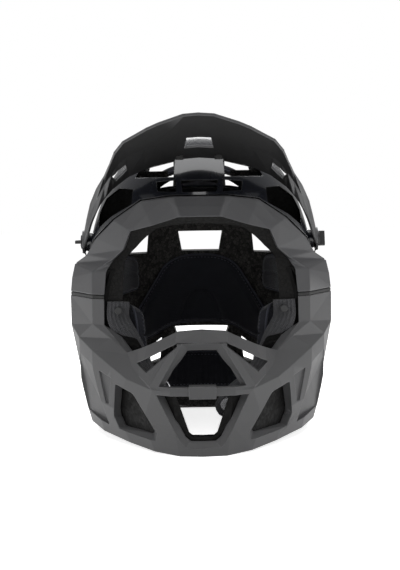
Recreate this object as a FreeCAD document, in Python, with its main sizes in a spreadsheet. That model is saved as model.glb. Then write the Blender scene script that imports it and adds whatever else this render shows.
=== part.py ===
import FreeCAD, Part
import math
import os
from FreeCAD import Vector

# A downhill bike helmet with a full face guard.
# Millimetres. +Z is up, the face looks along -Y, +X is the wearer's left.
# Shapes are drawn round the middle of the head, which stands on the line x = 0, y = 0.
# The placement of every piece then moves it back so that the box of the whole helmet is centred.

DOC = FreeCAD.newDocument("FullFaceHelmet")
SHEET = DOC.addObject("Spreadsheet::Sheet", "Sizes")

SIZES = [
    ("crown_top", 275, "highest point of the crown shell"),
    ("widest_level", 125, "height of the widest level of the shell"),
    ("shell_half_width", 106, "half width of the crown shell at its widest level"),
    ("shell_lower_depth", 210, "depth of the lower half of the shell's oval"),
    ("front_stretch", 1.26, "length over width of the front half of the shell"),
    ("rear_stretch", 1.28, "length over width of the rear half of the shell"),
    ("shell_wall", 2.2, "wall of the crown shell and of the rear shell"),
    ("skin_gap", 0.3, "gap between a shell and the foam behind it"),
    ("foam_wall", 21, "foam at the side of the head"),
    ("foam_crown", 28, "foam over the top of the head"),
    ("cavity_stretch", 1.24, "length over width of the head cavity"),
    ("liner_split", 15, "joint between the front and the back of the crown foam"),
    ("shell_tuck", 1.5, "gap between the crown shell and the foam behind the brow frame"),
    ("rear_shell_top", 118, "height of the joint between crown shell and rear shell"),
    ("rear_shell_proud", 1.2, "how far the rear shell stands proud of the crown shell"),
    ("rear_shell_front", 14, "where the rear shell starts behind the middle of the head"),
    ("side_rim", 13, "height of the lower rim beside the ears"),
    ("arch_rear", 88, "rear end of the raised side rim"),
    ("port_side", 54, "front edge of the foam beside the face opening"),
    ("frame_gap", 1, "gap between the brow frame and the crown shell above it"),
    ("frame_wall", 4, "wall of the brow frame at the cheeks"),
    ("brow_wall", 8, "depth of the brow frame over the eyes"),
    ("frame_axis", -20, "line that the frame's walls are offset towards"),
    ("seam_top", 126.2, "upper edge of the seam strip's slot"),
    ("seam_bottom", 122.6, "lower edge of the seam strip's slot"),
    ("seam_gap", 0.4, "gap above and below the seam strip"),
    ("strip_inset", 0.5, "how far the seam strip lies back from the shells"),
    ("chin_wall", 8, "wall of the chin bar in front"),
    ("jaw_wall", 4, "wall of the chin bar at the jaw"),
    ("jaw_foam", 13, "foam behind the jaw"),
    ("chin_foam", 9, "foam behind the chin"),
    ("cheek_foam_top", 148.5, "upper end of the foam behind the cheeks of the brow frame"),
    ("vent_lip", 3.5, "foam lip inside the chin vents"),
    ("visor_wall", 2.4, "wall of the visor"),
    ("visor_tip", 206, "reach of the visor in front of the middle of the head"),
    ("pivot_height", 172, "height of the visor's pivot"),
    ("pivot_seat", 105.2, "seat face of the visor pivot on the crown shell"),
    ("seat_radius", 9, "seat boss of the visor pivot"),
    ("washer_wall", 1.5, "wall of the visor washer"),
    ("washer_radius", 8.5, "visor washer"),
    ("pivot_gap", 0.15, "gap on each face of washer and visor arm"),
    ("arm_wall", 2.6, "wall of the disc on the end of the visor arm"),
    ("arm_radius", 10.5, "disc on the end of the visor arm"),
    ("screw_radius", 3, "shank of the thumb screw"),
    ("screw_fit", 0.06, "running gap round the shank"),
    ("flange_radius", 6.5, "flange of the thumb screw"),
    ("flange_wall", 1.4, "flange of the thumb screw"),
    ("wing_span", 14, "span of the thumb screw's wing"),
    ("wing_reach", 5.2, "how far the wing stands out"),
    ("wing_wall", 3, "wall of the thumb screw's wing"),
    ("insert_radius", 5, "threaded insert in the crown foam"),
    ("insert_gap", 0.35, "gap between the insert and the shell round it"),
    ("insert_length", 9, "threaded insert in the crown foam"),
    ("pad_wall", 6, "wall of the comfort pads"),
    ("cheek_pad_wall", 19, "wall of the cheek pads"),
    ("plate_wall", 1.5, "backing plate of a cheek pad"),
    ("stud_radius", 4, "snap stud of a cheek pad"),
    ("stud_length", 6, "snap stud of a cheek pad"),
    ("stud_gap", 0.3, "gap round a snap stud"),
    ("strap_width", 20, "width of the chin strap"),
    ("strap_wall", 2.6, "wall of the chin strap"),
    ("strap_gap", 0.5, "room round a strap in the foam"),
    ("anchor_wall", 1.4, "plate that anchors a strap"),
    ("rivet_radius", 3.4, "rivet head of a strap anchor"),
    ("rivet_wall", 1.5, "rivet head of a strap anchor"),
    ("anchor_width", 16, "plate that anchors a strap"),
    ("ring_radius", 12, "middle line of a strap ring"),
    ("ring_wire", 1.6, "radius of the wire of a strap ring"),
    ("loop_wall", 9, "folded end of the short strap round the rings"),
    ("snap_radius", 5.5, "snap button on the long strap"),
    ("snap_wall", 2, "snap button on the long strap"),
    ("bumper_radius", 3.2, "rubber bumper under the visor"),
    ("bumper_height", 3, "rubber bumper under the visor"),
]


def fill_sheet():
    for row, (alias, value, note) in enumerate(SIZES, start=1):
        SHEET.set("A%d" % row, alias)
        SHEET.set("B%d" % row, str(value))
        SHEET.setAlias("B%d" % row, alias)
        SHEET.set("C%d" % row, note)
    DOC.recompute()


fill_sheet()


def size(alias):
    return float(SHEET.get(alias))


# General shapes

def mirrored(shape):
    return shape.mirror(Vector(0, 0, 0), Vector(1, 0, 0))


def with_mirror(shapes):
    return list(shapes) + [mirrored(shape) for shape in shapes]


def polygon(points):
    return Part.makePolygon(list(points) + [points[0]])


def prism_y(corners, start, end):
    """A straight block along Y over corners given as (x, z)."""
    face = Part.Face(polygon([Vector(x, start, z) for x, z in corners]))
    return face.extrude(Vector(0, end - start, 0))


def prism_x(corners, start, end):
    """A straight block along X over corners given as (y, z)."""
    face = Part.Face(polygon([Vector(start, y, z) for y, z in corners]))
    return face.extrude(Vector(end - start, 0, 0))


def prism_z(corners, start, end):
    """A straight block along Z over corners given as (x, y)."""
    face = Part.Face(polygon([Vector(x, y, start) for x, y in corners]))
    return face.extrude(Vector(0, 0, end - start))


def both_halves(corners):
    """Corners of a window that crosses the middle, from its left half."""
    return list(corners) + [(-across, up) for across, up in reversed(corners)]


def diagonal_runs_first(a, b, c, d):
    """Whether the outer diagonal of four corners runs from the first to the third."""
    axis = Vector(0, size("frame_axis"), 0)
    first = (a + c) * 0.5 - axis
    second = (b + d) * 0.5 - axis
    return math.hypot(first.x, first.y) > math.hypot(second.x, second.y)


def facets(a, b, c, d, first):
    """Two flat faces through four corners, that meet on one diagonal."""
    if first:
        return [Part.Face(polygon([a, b, c])), Part.Face(polygon([a, c, d]))]
    return [Part.Face(polygon([a, b, d])), Part.Face(polygon([b, c, d]))]


def cap(section):
    wire = polygon(section)
    flat = wire.findPlane()
    if flat:
        return [Part.Face(wire)]
    middle = Vector(0, 0, 0)
    for point in section:
        middle = middle + point * (1 / len(section))
    ring = list(section) + [section[0]]
    return [Part.Face(polygon([middle, a, b])) for a, b in zip(ring, ring[1:])]


def faceted(sections, walled=False):
    """A closed body of flat faces through sections with as many corners each.

    In a walled body the second half of each section lies behind the first half, and its
    faces meet on the same diagonals, so that the wall is even.
    """
    faces = cap(sections[0]) + cap(sections[-1])
    count = len(sections[0])
    half = count // 2
    for near, far in zip(sections, sections[1:]):
        chosen = []
        for one in range(count):
            two = (one + 1) % count
            corners = (near[one], near[two], far[two], far[one])
            partner = count - 2 - one
            if walled and half <= one < count - 1:
                first = not chosen[partner]
            else:
                first = diagonal_runs_first(*corners)
            chosen.append(first)
            faces += facets(*corners, first)
    solid = Part.Solid(Part.Shell(faces))
    if solid.Volume < 0:
        solid.reverse()
    return solid


def biggest(shape):
    """The main solid of a cut, without crumbs."""
    return max(shape.Solids, key=lambda solid: solid.Volume)


# The shell's surfaces

OVAL = 2 / 2.4


def oval_half_width(level, half_width, top):
    """Half width of a shell at a height."""
    middle = size("widest_level")
    reach = top - middle if level > middle else size("shell_lower_depth")
    share = min(abs(level - middle) / reach, 1)
    return half_width * (1 - share ** 2) ** (OVAL / 2)


def oval_profile(half_width, top, floor):
    """Half outline from the top down to the floor, in the XZ plane."""
    middle = size("widest_level")
    rise = top - middle
    points = []
    for degrees in (90, 82, 73, 62, 48, 32, 16, 0):
        angle = math.radians(degrees)
        points.append(Vector(half_width * math.cos(angle) ** OVAL, 0, middle + rise * math.sin(angle)))
    for level in (85, 45, floor):
        points.append(Vector(oval_half_width(level, half_width, top), 0, level))
    points[0].x = 0
    curve = Part.BSplineCurve()
    curve.interpolate(Points=points)
    foot = Vector(0, 0, floor)
    rim = Part.makeLine(points[-1], foot)
    axis = Part.makeLine(foot, points[0])
    return Part.Face(Part.Wire([curve.toShape(), rim, axis]))


def stretched(shape, factor):
    matrix = FreeCAD.Matrix()
    matrix.scale(1, factor, 1)
    return shape.transformGeometry(matrix)


def egg(half_width, top, floor, front, rear):
    """A closed egg: the revolved outline, longer in front and behind by its own factor."""
    face = oval_profile(half_width, top, floor)
    back = stretched(face.revolve(Vector(0, 0, 0), Vector(0, 0, 1), 180), rear)
    fore = stretched(face.revolve(Vector(0, 0, 0), Vector(0, 0, 1), -180), front)
    return back.fuse(fore)


def shell_egg(inset, floor):
    return egg(size("shell_half_width") - inset, size("crown_top") - inset, floor,
               size("front_stretch"), size("rear_stretch"))


def cavity_egg(inset, floor):
    skin = size("shell_wall") + size("skin_gap")
    return egg(size("shell_half_width") - skin - size("foam_wall") - inset,
               size("crown_top") - skin - size("foam_crown") - inset, floor,
               size("cavity_stretch"), size("cavity_stretch"))


def head_band(near, far, window):
    """A pad that follows the head cavity between two depths, inside a window."""
    return cavity_egg(near, -20).cut(cavity_egg(far, -30)).common(window)


# Corners of the brow frame, one row for each crease from the middle down to the seam.
# Each row: inner edge of the face opening, lip, middle, outer edge.

BROW_ROWS = [
    ((0, -109, 197.5), (0, -119, 195.8), (0, -117.4, 205), (0, -115, 213.5)),
    ((16.2, -107.5, 197.2), (16.4, -118, 195.6), (19.3, -116.2, 204.5), (22.2, -113.5, 213.4)),
    ((19, -106, 196.8), (19.3, -115.6, 195.2), (23.6, -113.4, 204.2), (27.9, -110.4, 213)),
    ((40.5, -97, 190), (41, -106, 188.5), (46, -102.5, 199.2), (51.2, -97.5, 209.9)),
    ((60, -82, 184.6), (60.7, -90, 183.6), (68.5, -82.5, 188.5), (76.3, -73.5, 193.5)),
    ((66.8, -71, 167.6), (67.5, -79, 167.5), (81, -63, 172), (94, -48, 177)),
    ((77.8, -59.5, 157.4), (78.4, -66, 157.9), (104, -29, 161.2), (106.5, 30, 152)),
    ((80.5, -59.5, 153), (87, -58.5, 153), (117, -5, 152.5), (110, 31, 148.5)),
    ((84.3, -60, 147.5), (97.6, -50, 147), (120.3, -3, 139.3), (112.5, 32, 137)),
]
CHEEK_LIP = ((86.3, -60), (97.9, -52), (121.8, -2), (113, 33))
CHEEK_ROW = 7


def corner(side, values):
    return Vector(side * values[0], values[1], values[2])


def inward(point, depth):
    """A point moved level towards the frame's upright axis."""
    spoke = Vector(point.x, point.y - size("frame_axis"), 0)
    return point - spoke * (depth / spoke.Length)


def brow_outer(number, side):
    if number < len(BROW_ROWS):
        return [corner(side, values) for values in BROW_ROWS[number]]
    return [corner(side, (x, y, size("seam_top"))) for x, y in CHEEK_LIP]


def brow_wall(number):
    """The wall goes from the deep brow to the thin cheek."""
    share = min(number / CHEEK_ROW, 1)
    return size("brow_wall") + (size("frame_wall") - size("brow_wall")) * share


def brow_section(number, side):
    inner_lip, lip, middle, outer = brow_outer(number, side)
    wall = brow_wall(number)
    back_lip = inner_lip + Vector(0, wall * 0.75, 0)
    back_middle = inward(middle, wall)
    back_crease = inward(lip, wall) if number >= CHEEK_ROW else (back_middle + back_lip) * 0.5
    return [inner_lip, lip, middle, outer, inward(outer, wall), back_middle, back_crease, back_lip]


def brow_frame_shape():
    count = len(BROW_ROWS) + 1
    right = [brow_section(number, -1) for number in range(count - 1, 0, -1)]
    left = [brow_section(number, 1) for number in range(0, count)]
    return faceted(right + left, True)


# Corners of the chin bar, one row for each crease from the seam to the middle.
# Each row: top edge, upper crease, broad crease, lower side, bottom edge.

JAW_LIP = ((86.6, -60), (97.9, -52), (121.8, -2), (118, 17), (113, 33))
CHIN_ROWS = [
    ((86.9, -60, 99.6), (98, -52, 99.9), (121.2, -7, 95.5), (116, 16, 80), (108, 33, 62)),
    ((76.6, -75, 89.4), (80, -75, 89), (112.3, -32, 86.2), (113.8, -6, 56), (103, 26, 16)),
    ((64.9, -98, 79.1), (66.3, -98.5, 78), (98.5, -62, 77.6), (110.5, -36, 41.4), (101.3, -36, 9.4)),
    ((55, -113, 83.6), (60.5, -115, 69), (78.4, -98, 66.4), (95.5, -74, 36), (87.5, -74, 6.6)),
    ((45.7, -130, 88.6), (53.5, -131, 63), (64.9, -122, 59.4), (76, -106, 31), (62, -118, 3.8)),
    ((34.1, -143, 94.9), (44.5, -148, 56), (41.8, -152, 53.6), (50, -140, 26), (40.5, -147.5, 1.6)),
    ((21.1, -154, 102), (22, -160, 93), (27, -163.5, 54), (24, -163, 25), (19.4, -162, 0)),
    ((0, -158, 103.8), (0, -163.5, 94), (0, -166.5, 54), (0, -166, 25), (0, -165, 0)),
]
LIP_ROWS = 2
JAW_ROWS = 3
FRONT_ROWS = 6


def jaw_share(number):
    """0 at the jaw, 1 at the chin."""
    return min(max(number - JAW_ROWS, 0) / (FRONT_ROWS - JAW_ROWS), 1)


def chin_outer(number, side):
    if number == 0:
        return [corner(side, (x, y, size("seam_bottom"))) for x, y in JAW_LIP]
    return [corner(side, values) for values in CHIN_ROWS[number - 1]]


def chin_wall(number):
    return size("jaw_wall") if number < LIP_ROWS else size("chin_wall")


def foam_wall(number):
    return size("jaw_foam") + (size("chin_foam") - size("jaw_foam")) * jaw_share(number)


def ring_between(outer, near, far, lip):
    """Corners of a wall between two depths behind the outer corners."""
    front = [inward(point, near) for point in outer]
    back = [inward(point, far) for point in outer]
    if lip:
        front[0] = outer[0] + Vector(0, near * 0.75, 0)
        back[0] = outer[0] + Vector(0, far * 0.75, 0)
    return front + back[::-1]


def chin_section(number, side):
    return ring_between(chin_outer(number, side), 0, chin_wall(number), number < LIP_ROWS)


def foam_ring(outer, near, far, lip):
    """As the wall, with a slanted edge beside the face opening."""
    ring = ring_between(outer, near, far, lip)
    if lip:
        ring[-1] = ring[-2] + (ring[0] - ring[1]) * 0.5
    return ring


def foam_section(number, side):
    near = chin_wall(number) + size("skin_gap")
    return foam_ring(chin_outer(number, side), near, near + foam_wall(number), number < LIP_ROWS)


def cheek_foam_section(number, side):
    inner_lip, lip, middle, outer = brow_outer(number, side)
    near = size("frame_wall") + size("skin_gap")
    corners = [inner_lip, lip, middle, (middle + outer) * 0.5, outer]
    if number == CHEEK_ROW:
        corners = [Vector(point.x, point.y, size("cheek_foam_top")) for point in corners]
    return foam_ring(corners, near, near + size("jaw_foam"), True)


def round_the_chin(section_of):
    count = len(CHIN_ROWS) + 1
    right = [section_of(number, -1) for number in range(0, count)]
    left = [section_of(number, 1) for number in range(count - 2, -1, -1)]
    return right + left


def chin_bar_blank():
    return faceted(round_the_chin(chin_section), True)


def chin_liner_blank():
    ring = round_the_chin(foam_section)
    rows = (CHEEK_ROW, len(BROW_ROWS))
    right = [cheek_foam_section(number, -1) for number in rows]
    left = [cheek_foam_section(number, 1) for number in rows]
    return faceted(right + ring + left[::-1], True)


# Windows of the chin bar, as corners (x, z) of the front view, and how deep each corner lies.

FAR_FRONT = -230


def surface_front(solid, x, level):
    """Y where a level line from the front meets a solid."""
    ray = Part.makeLine(Vector(x, FAR_FRONT, level), Vector(x, 0, level))
    hits = [vertex.Y for vertex in ray.common(solid).Vertexes]
    return min(hits)


def funnel(solid, mouth, throat, depth, reach):
    """A window whose mouth lies on the solid's front and narrows to its throat."""
    on_front = [Vector(x, surface_front(solid, x, level), level) for x, level in mouth]
    before = [Vector(point.x, FAR_FRONT, point.z) for point in on_front]
    narrow = [Vector(x, point.y + depth, level) for (x, level), point in zip(throat, on_front)]
    behind = [Vector(point.x, point.y + reach, point.z) for point in narrow]
    return faceted([before, on_front, narrow, behind])


def recess(solid, mouth, depths):
    """A shallow pocket with its own depth at each corner."""
    on_front = [Vector(x, surface_front(solid, x, level), level) for x, level in mouth]
    before = [inward(point, -20) for point in on_front]
    floor = [inward(point, depth) for point, depth in zip(on_front, depths)]
    return faceted([before, on_front, floor])


LOWER_VENT_MOUTH = ((38.5, 50.1), (18.7, 11.8), (14.6, 7.1))
LOWER_VENT_THROAT = ((31.7, 50.1), (14.5, 15.4), (10.3, 11.9))
UPPER_VENT_MOUTH = ((16, 93), (36.5, 57.1))
UPPER_VENT_THROAT = ((11.8, 87), (31.7, 57.1))
TRIANGLE_VENT = ((55.7, 72.5), (46.9, 66.4), (20.4, 90.4), (20.8, 93))
SIDE_VENT_MOUTH = ((75.2, 53), (58.9, 47.8), (37.9, 17.4), (39.7, 10.7), (72.5, 13.9), (77, 23.8))
SIDE_VENT_THROAT = ((60, 46.7), (57, 45.5), (40.5, 17.5), (42, 15.5), (56.5, 20.5), (59.5, 24))
SCOOP = ((113.2, 75), (98.2, 63.4), (87.1, 30.1), (82.4, 14.8), (104, 20.5), (113, 62))
SCOOP_DEPTHS = (0.8, 3.2, 3.4, 3, 1, 0.8)
DIMPLE = ((91.3, 61), (79.5, 57.1), (82, 34.1), (84.7, 34.2))
DIMPLE_DEPTHS = (1.4, 1.4, 1.8, 1.8)
BEVEL_DEPTH = 5
FUNNEL_DEPTH = 10
THROUGH = 60


def shrunk(corners, lip):
    """A window's corners moved in by a lip on every side."""
    face = Part.Face(polygon([Vector(x, 0, level) for x, level in corners]))
    wire = face.makeOffset2D(-lip, join=2).OuterWire
    return [(vertex.X, vertex.Z) for vertex in wire.OrderedVertexes]


def chin_bar_shape(blank):
    lower = funnel(blank, both_halves(LOWER_VENT_MOUTH), both_halves(LOWER_VENT_THROAT),
                   BEVEL_DEPTH, THROUGH)
    upper = funnel(blank, both_halves(UPPER_VENT_MOUTH), both_halves(UPPER_VENT_THROAT),
                   BEVEL_DEPTH, THROUGH)
    paired = [
        prism_y(TRIANGLE_VENT, FAR_FRONT, -100),
        funnel(blank, SIDE_VENT_MOUTH, SIDE_VENT_THROAT, FUNNEL_DEPTH, THROUGH),
        recess(blank, SCOOP, SCOOP_DEPTHS),
        recess(blank, DIMPLE, DIMPLE_DEPTHS),
    ]
    return biggest(blank.cut([lower, upper] + with_mirror(paired)))


def crossbar_block(bar):
    """The raised block in the middle of the bar between the two centre vents."""
    half = 11.2
    front = surface_front(bar, 0, 54)
    block = prism_y(((-half, 47.9), (half, 47.9), (half, 58.3), (-half, 58.3)), front - 0.8, front + 12)
    return block


FOAM_TOP = ((-70, 130), (-64, 66), (-50, 50.1), (50, 50.1), (64, 66), (70, 130))


def chin_liner_shape(blank):
    lower = shrunk(both_halves(LOWER_VENT_THROAT), size("vent_lip"))
    lower = [(x, level if level < 40 else 60) for x, level in lower]
    return biggest(blank.cut([prism_y(lower, FAR_FRONT, -80), prism_y(FOAM_TOP, FAR_FRONT, -80)]))


def seam_strip_section(level, side):
    outer = [corner(side, (x, y, level)) for x, y in JAW_LIP]
    inset = size("strip_inset")
    return ring_between(outer, inset, size("jaw_wall"), True)


def seam_strip_shape(side):
    low = size("seam_bottom") + size("seam_gap")
    high = size("seam_top") - size("seam_gap")
    return faceted([seam_strip_section(low, side), seam_strip_section(high, side)])


# Windows of the crown, corners as seen along the axis of each cut.

FRONT_VENT = ((21, 246), (52, 238), (56, 230), (22, 230))
CROWN_CHANNEL = ((24, 246), (50, 240), (50, 236), (24, 236))
SLOT_CENTRE = ((15.9, 227), (14.5, 217))
SLOT_FLANK = ((20, 227.5), (37, 226), (36, 218), (20, 217))
BROW_SIDE_VENT = ((58, 220), (59, 207), (78, 196.5), (91, 186), (91, 199), (84, 212), (71, 221))
TOP_VENT = ((22, -42), (40, -36), (44, 8), (24, 12))
TOP_REAR_VENT = ((24, 28), (46, 24), (44, 60), (24, 66))
REAR_HIGH_VENT = ((24, 247), (48, 241), (56, 216), (26, 220))
REAR_WINDOW = ((22.5, 178), (19, 158))
REAR_SIDE_WINDOW = ((51, 177), (72, 174), (70, 157), (53, 157))
SIDE_HIGH_VENT = ((24, 208), (58, 204), (66, 180), (32, 184))
NAPE_SLOT = ((28, 82), (25, 72))
NAPE_SIDE_SLOT = ((40, 72), (54, 62), (52, 45), (42, 48))


def crown_windows():
    centre = [
        prism_y(both_halves(SLOT_CENTRE), FAR_FRONT, -60),
        prism_y(both_halves(REAR_WINDOW), 60, 180),
    ]
    paired = [
        prism_y(FRONT_VENT, FAR_FRONT, -40),
        prism_y(SLOT_FLANK, FAR_FRONT, -50),
        prism_y(BROW_SIDE_VENT, FAR_FRONT, -12),
        prism_z(TOP_VENT, 215, 300),
        prism_z(TOP_REAR_VENT, 195, 300),
        prism_y(REAR_HIGH_VENT, 50, 180),
        prism_y(REAR_SIDE_WINDOW, 40, 180),
        prism_x(SIDE_HIGH_VENT, 40, 130),
    ]
    return centre + with_mirror(paired)


def nape_windows():
    return [prism_y(both_halves(NAPE_SLOT), 50, 180)] + with_mirror([prism_y(NAPE_SIDE_SLOT, 40, 180)])


def crown_channels():
    return with_mirror([prism_y(CROWN_CHANNEL, -60, 60)])


def brow_edge(gap):
    """The front outline of the brow frame's upper edge, as (x, z)."""
    half = [(row[3][0], row[3][2] + gap) for row in BROW_ROWS[:6]]
    return half


SHELL_EDGE = [(-60, 158), (0, 153)]


def shell_room():
    """The room of both shells behind the brow frame, which the foam of the face guard leaves free."""
    inset = -size("rear_shell_proud") - size("skin_gap")
    gap = size("shell_tuck")
    front = size("rear_shell_front") - gap
    edge = [(along, level - gap) for along, level in SHELL_EDGE]
    top = size("rear_shell_top")
    side = edge + [(front, top), (front, -20), (200, -20), (200, 300), (-60, 300)]
    return shell_egg(inset, -20).common(prism_x(side, -150, 150))


def upper_shell_shape(frame):
    skin = shell_egg(0, -20).cut(shell_egg(size("shell_wall"), -30))
    gap = size("frame_gap")
    edge = brow_edge(gap) + [(112, 158)]
    front = [(-x, level) for x, level in reversed(edge[1:])] + edge + [(140, -40), (-140, -40)]
    rear = size("rear_shell_top")
    below = [(-60, -40)] + SHELL_EDGE + [(14, rear), (200, rear), (200, -40)]
    cuts = [prism_y(front, FAR_FRONT, -20), prism_x(below, -150, 150), frame]
    shell = biggest(skin.cut(cuts))
    seats = with_mirror([pivot_seat(size("shell_half_width") - 14)])
    shell = shell.fuse(seats)
    bores = with_mirror([x_cylinder(size("insert_radius") + size("insert_gap"), 60, 130)])
    return biggest(shell.cut(crown_windows() + bores))


def x_cylinder(radius, start, end):
    return Part.makeCylinder(radius, end - start, Vector(start, 0, size("pivot_height")), Vector(1, 0, 0))


def pivot_seat(start):
    """The boss that the visor arm's washer bears on, kept outside the shell's inner face."""
    boss = x_cylinder(size("seat_radius"), start, size("pivot_seat"))
    return boss.cut(shell_egg(size("shell_wall"), -30))


def side_arch():
    """What lies below the raised rim beside the ears."""
    rim = size("side_rim")
    rear = size("arch_rear")
    return prism_x(((-120, -40), (-120, rim), (rear - 22, rim), (rear, 0), (200, 0), (200, -40)), -150, 150)


def rear_shell_shape():
    proud = size("rear_shell_proud")
    skin = shell_egg(-proud, -20).cut(shell_egg(size("shell_wall") - proud, -30))
    front = size("rear_shell_front")
    top = size("rear_shell_top") - size("seam_gap")
    zone = prism_x(((front, -20), (front, top), (200, top), (200, -20)), -150, 150)
    shell = skin.common(zone).cut([side_arch()] + nape_windows())
    return biggest(shell)


def crown_liner_shape(face_pieces):
    inset = size("shell_wall") + size("skin_gap")
    block = shell_egg(inset, -20).cut(cavity_egg(0, -30))
    side = -size("port_side")
    port = ((-200, -40), (side, -40), (side, 158), (-66, 169), (-78, 186), (-92, 191), (-104, 198.5), (-200, 198.5))
    cuts = [prism_x(port, -150, 150), side_arch()] + face_pieces
    cuts += crown_windows() + nape_windows() + crown_channels()
    cuts += with_mirror([x_cylinder(size("insert_radius"), 105 - size("insert_length") - 6, 130)])
    cuts += with_mirror([stud_cylinder(place, size("stud_radius") + size("stud_gap"), 70, 70 + 22)
                         for place in STUD_PLACES])
    return biggest(block.cut(cuts))


def crown_liner_parts(liner):
    """Front, back and nape block of the crown foam, which is moulded in three pieces."""
    gap = size("skin_gap") / 2
    split = size("liner_split")
    low = size("rear_shell_top")
    front = prism_x(((-200, -40), (split - gap, -40), (split - gap, 300), (-200, 300)), -150, 150)
    back = prism_x(((split + gap, low + gap), (200, low + gap), (200, 300), (split + gap, 300)), -150, 150)
    nape = prism_x(((split + gap, -40), (200, -40), (200, low - gap), (split + gap, low - gap)), -150, 150)
    return [biggest(liner.common(zone)) for zone in (front, back, nape)]


# Padding

STUD_PLACES = ((-34, 58), (6, 58), (-14, 102))


def stud_cylinder(place, radius, start, end):
    along, level = place
    return Part.makeCylinder(radius, end - start, Vector(start, along, level), Vector(1, 0, 0))


BROW_PAD = ((-62, 206), (-52, 186), (-40, 190), (-34, 196), (-24, 192), (-12, 197), (0, 195),
            (12, 197), (24, 192), (34, 196), (40, 190), (52, 186), (62, 206), (40, 222), (-40, 222))
REAR_PAD = ((30, 154), (52, 118), (69, 90), (62, 70), (46, 76), (28, 87))
NAPE_PAD = ((30, 56), (44, 44), (43, 24), (28, 22))
TEMPLE_PAD = ((16, 124), (20, 120), (58, 122), (62, 126), (58, 150), (50, 155), (26, 155), (17, 150))
CROWN_PAD = ((-18, -40), (18, -40), (18, -20), (58, -8), (58, 14), (18, 20), (16, 70), (-16, 70),
             (-18, 20), (-58, 14), (-58, -8), (-18, -20))


def brow_pad_shape():
    return biggest(head_band(size("skin_gap"), size("pad_wall"), prism_y(BROW_PAD, -200, -30)))


def rear_pad_shape():
    return biggest(head_band(size("skin_gap"), size("pad_wall"), prism_y(both_halves(REAR_PAD), 10, 150)))


def nape_pad_shape():
    return biggest(head_band(size("skin_gap"), size("pad_wall"), prism_y(both_halves(NAPE_PAD), 10, 150)))


def temple_pad_shape():
    return biggest(head_band(size("skin_gap"), size("pad_wall"), prism_x(TEMPLE_PAD, 10, 120)))


def crown_pad_shape():
    return biggest(head_band(size("skin_gap"), size("pad_wall"), prism_z(CROWN_PAD, 200, 300)))


CHEEK_PAD = ((-50, 44), (-44, 36), (14, 34), (22, 42), (24, 96), (16, 114), (-40, 116), (-50, 106))
CHEEK_PLATE = ((-46, 46), (14, 44), (18, 96), (10, 108), (-44, 108))


def cheek_pad_shape():
    near = size("skin_gap") * 2 + size("plate_wall")
    far = near + size("cheek_pad_wall")
    pad = biggest(head_band(near, far, prism_x(CHEEK_PAD, 10, 120)))
    inner = [edge for edge in pad.Edges if edge.BoundBox.XMax < 70]
    return pad.makeFillet(4, inner) if inner else pad


def cheek_plate_shape():
    near = size("skin_gap")
    plate = biggest(head_band(near, near + size("plate_wall"), prism_x(CHEEK_PLATE, 10, 120)))
    studs = [stud_cylinder(place, size("stud_radius"), 72, 72 + 14) for place in STUD_PLACES]
    inside = cavity_egg(near + size("plate_wall"), -30)
    return plate.fuse([stud.cut(inside) for stud in studs]).removeSplitter()


# Visor: rim, middle and root of each crease from the tip to the arm's end, and which way its wall lies.
# The wall lies below the peak and outside the arm.

VISOR_ROWS = [
    ((0, -206, 278.6), (0, -150, 263.5), (0, -98, 248.5), (0, 0.15, -1)),
    ((12, -205, 277.8), (16.5, -150, 262.5), (21, -98, 247), (0, 0.15, -1)),
    ((32, -197, 271.7), (35, -146, 258.5), (38, -93, 242.5), (-0.1, 0, -1)),
    ((42.4, -190, 267.7), (45, -140, 255), (49, -88, 238.5), (-0.2, 0, -0.95)),
    ((61.3, -170, 258.8), (61.5, -128, 248.5), (62, -82, 233), (-0.3, -0.2, -0.9)),
    ((70, -150, 250.3), (70, -114, 242.5), (70, -75, 227.5), (-0.3, -0.2, -0.9)),
    ((75.5, -125, 241.5), (76, -97, 235), (77, -69, 222), (-0.15, -0.3, -0.9)),
    ((82, -95, 232.4), (82.5, -78, 226.5), (83.5, -62, 214), (0.15, -0.4, -0.85)),
    ((90, -60, 222.8), (90.5, -55, 212), (91, -50, 202), (0.6, -0.4, -0.5)),
    ((97.5, -30, 208), (97.5, -34, 199), (97.5, -37, 189), (0.95, -0.3, 0)),
    ((102.2, -10, 195), (102.2, -17, 186), (102.2, -24, 177), (1, -0.15, 0.1)),
    ((106.9, 8.5, 180), (106.9, 0, 175), (106.9, -9, 166), (1, 0, 0)),
    ((106.9, 9.5, 167), (106.9, 3, 163), (106.9, -4, 161), (1, 0, 0)),
]


def visor_section(number, side):
    rim, middle, root, way = VISOR_ROWS[number]
    outer = [corner(side, values) for values in (rim, middle, root)]
    step = corner(side, way)
    step = step * (size("visor_wall") / step.Length)
    return outer + [point + step for point in reversed(outer)]


VISOR_WINDOW = ((9.8, -151), (12.2, -126))
VISOR_SIDE_WINDOW = ((62.5, -113), (62, -100), (72.5, -84), (76, -92))


def arm_face():
    """Outer face of the disc on the visor arm."""
    return size("pivot_seat") + size("washer_wall") + 2 * size("pivot_gap") + size("arm_wall")


def visor_shape():
    count = len(VISOR_ROWS)
    right = [visor_section(number, -1) for number in range(count - 1, 0, -1)]
    left = [visor_section(number, 1) for number in range(0, count)]
    sheet = faceted(right + left, True)
    face = arm_face()
    start = face - size("arm_wall")
    room = with_mirror([x_cylinder(size("arm_radius") + 1, 90, start)])
    discs = with_mirror([x_cylinder(size("arm_radius"), start, face)])
    bores = with_mirror([x_cylinder(size("screw_radius") + size("screw_fit"), 90, 130)])
    windows = [prism_z(both_halves(VISOR_WINDOW), 200, 300)] + with_mirror([prism_z(VISOR_SIDE_WINDOW, 200, 300)])
    return biggest(sheet.cut(room).fuse(discs).cut(bores + windows))


BUMPER = (16.5, -106)


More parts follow.
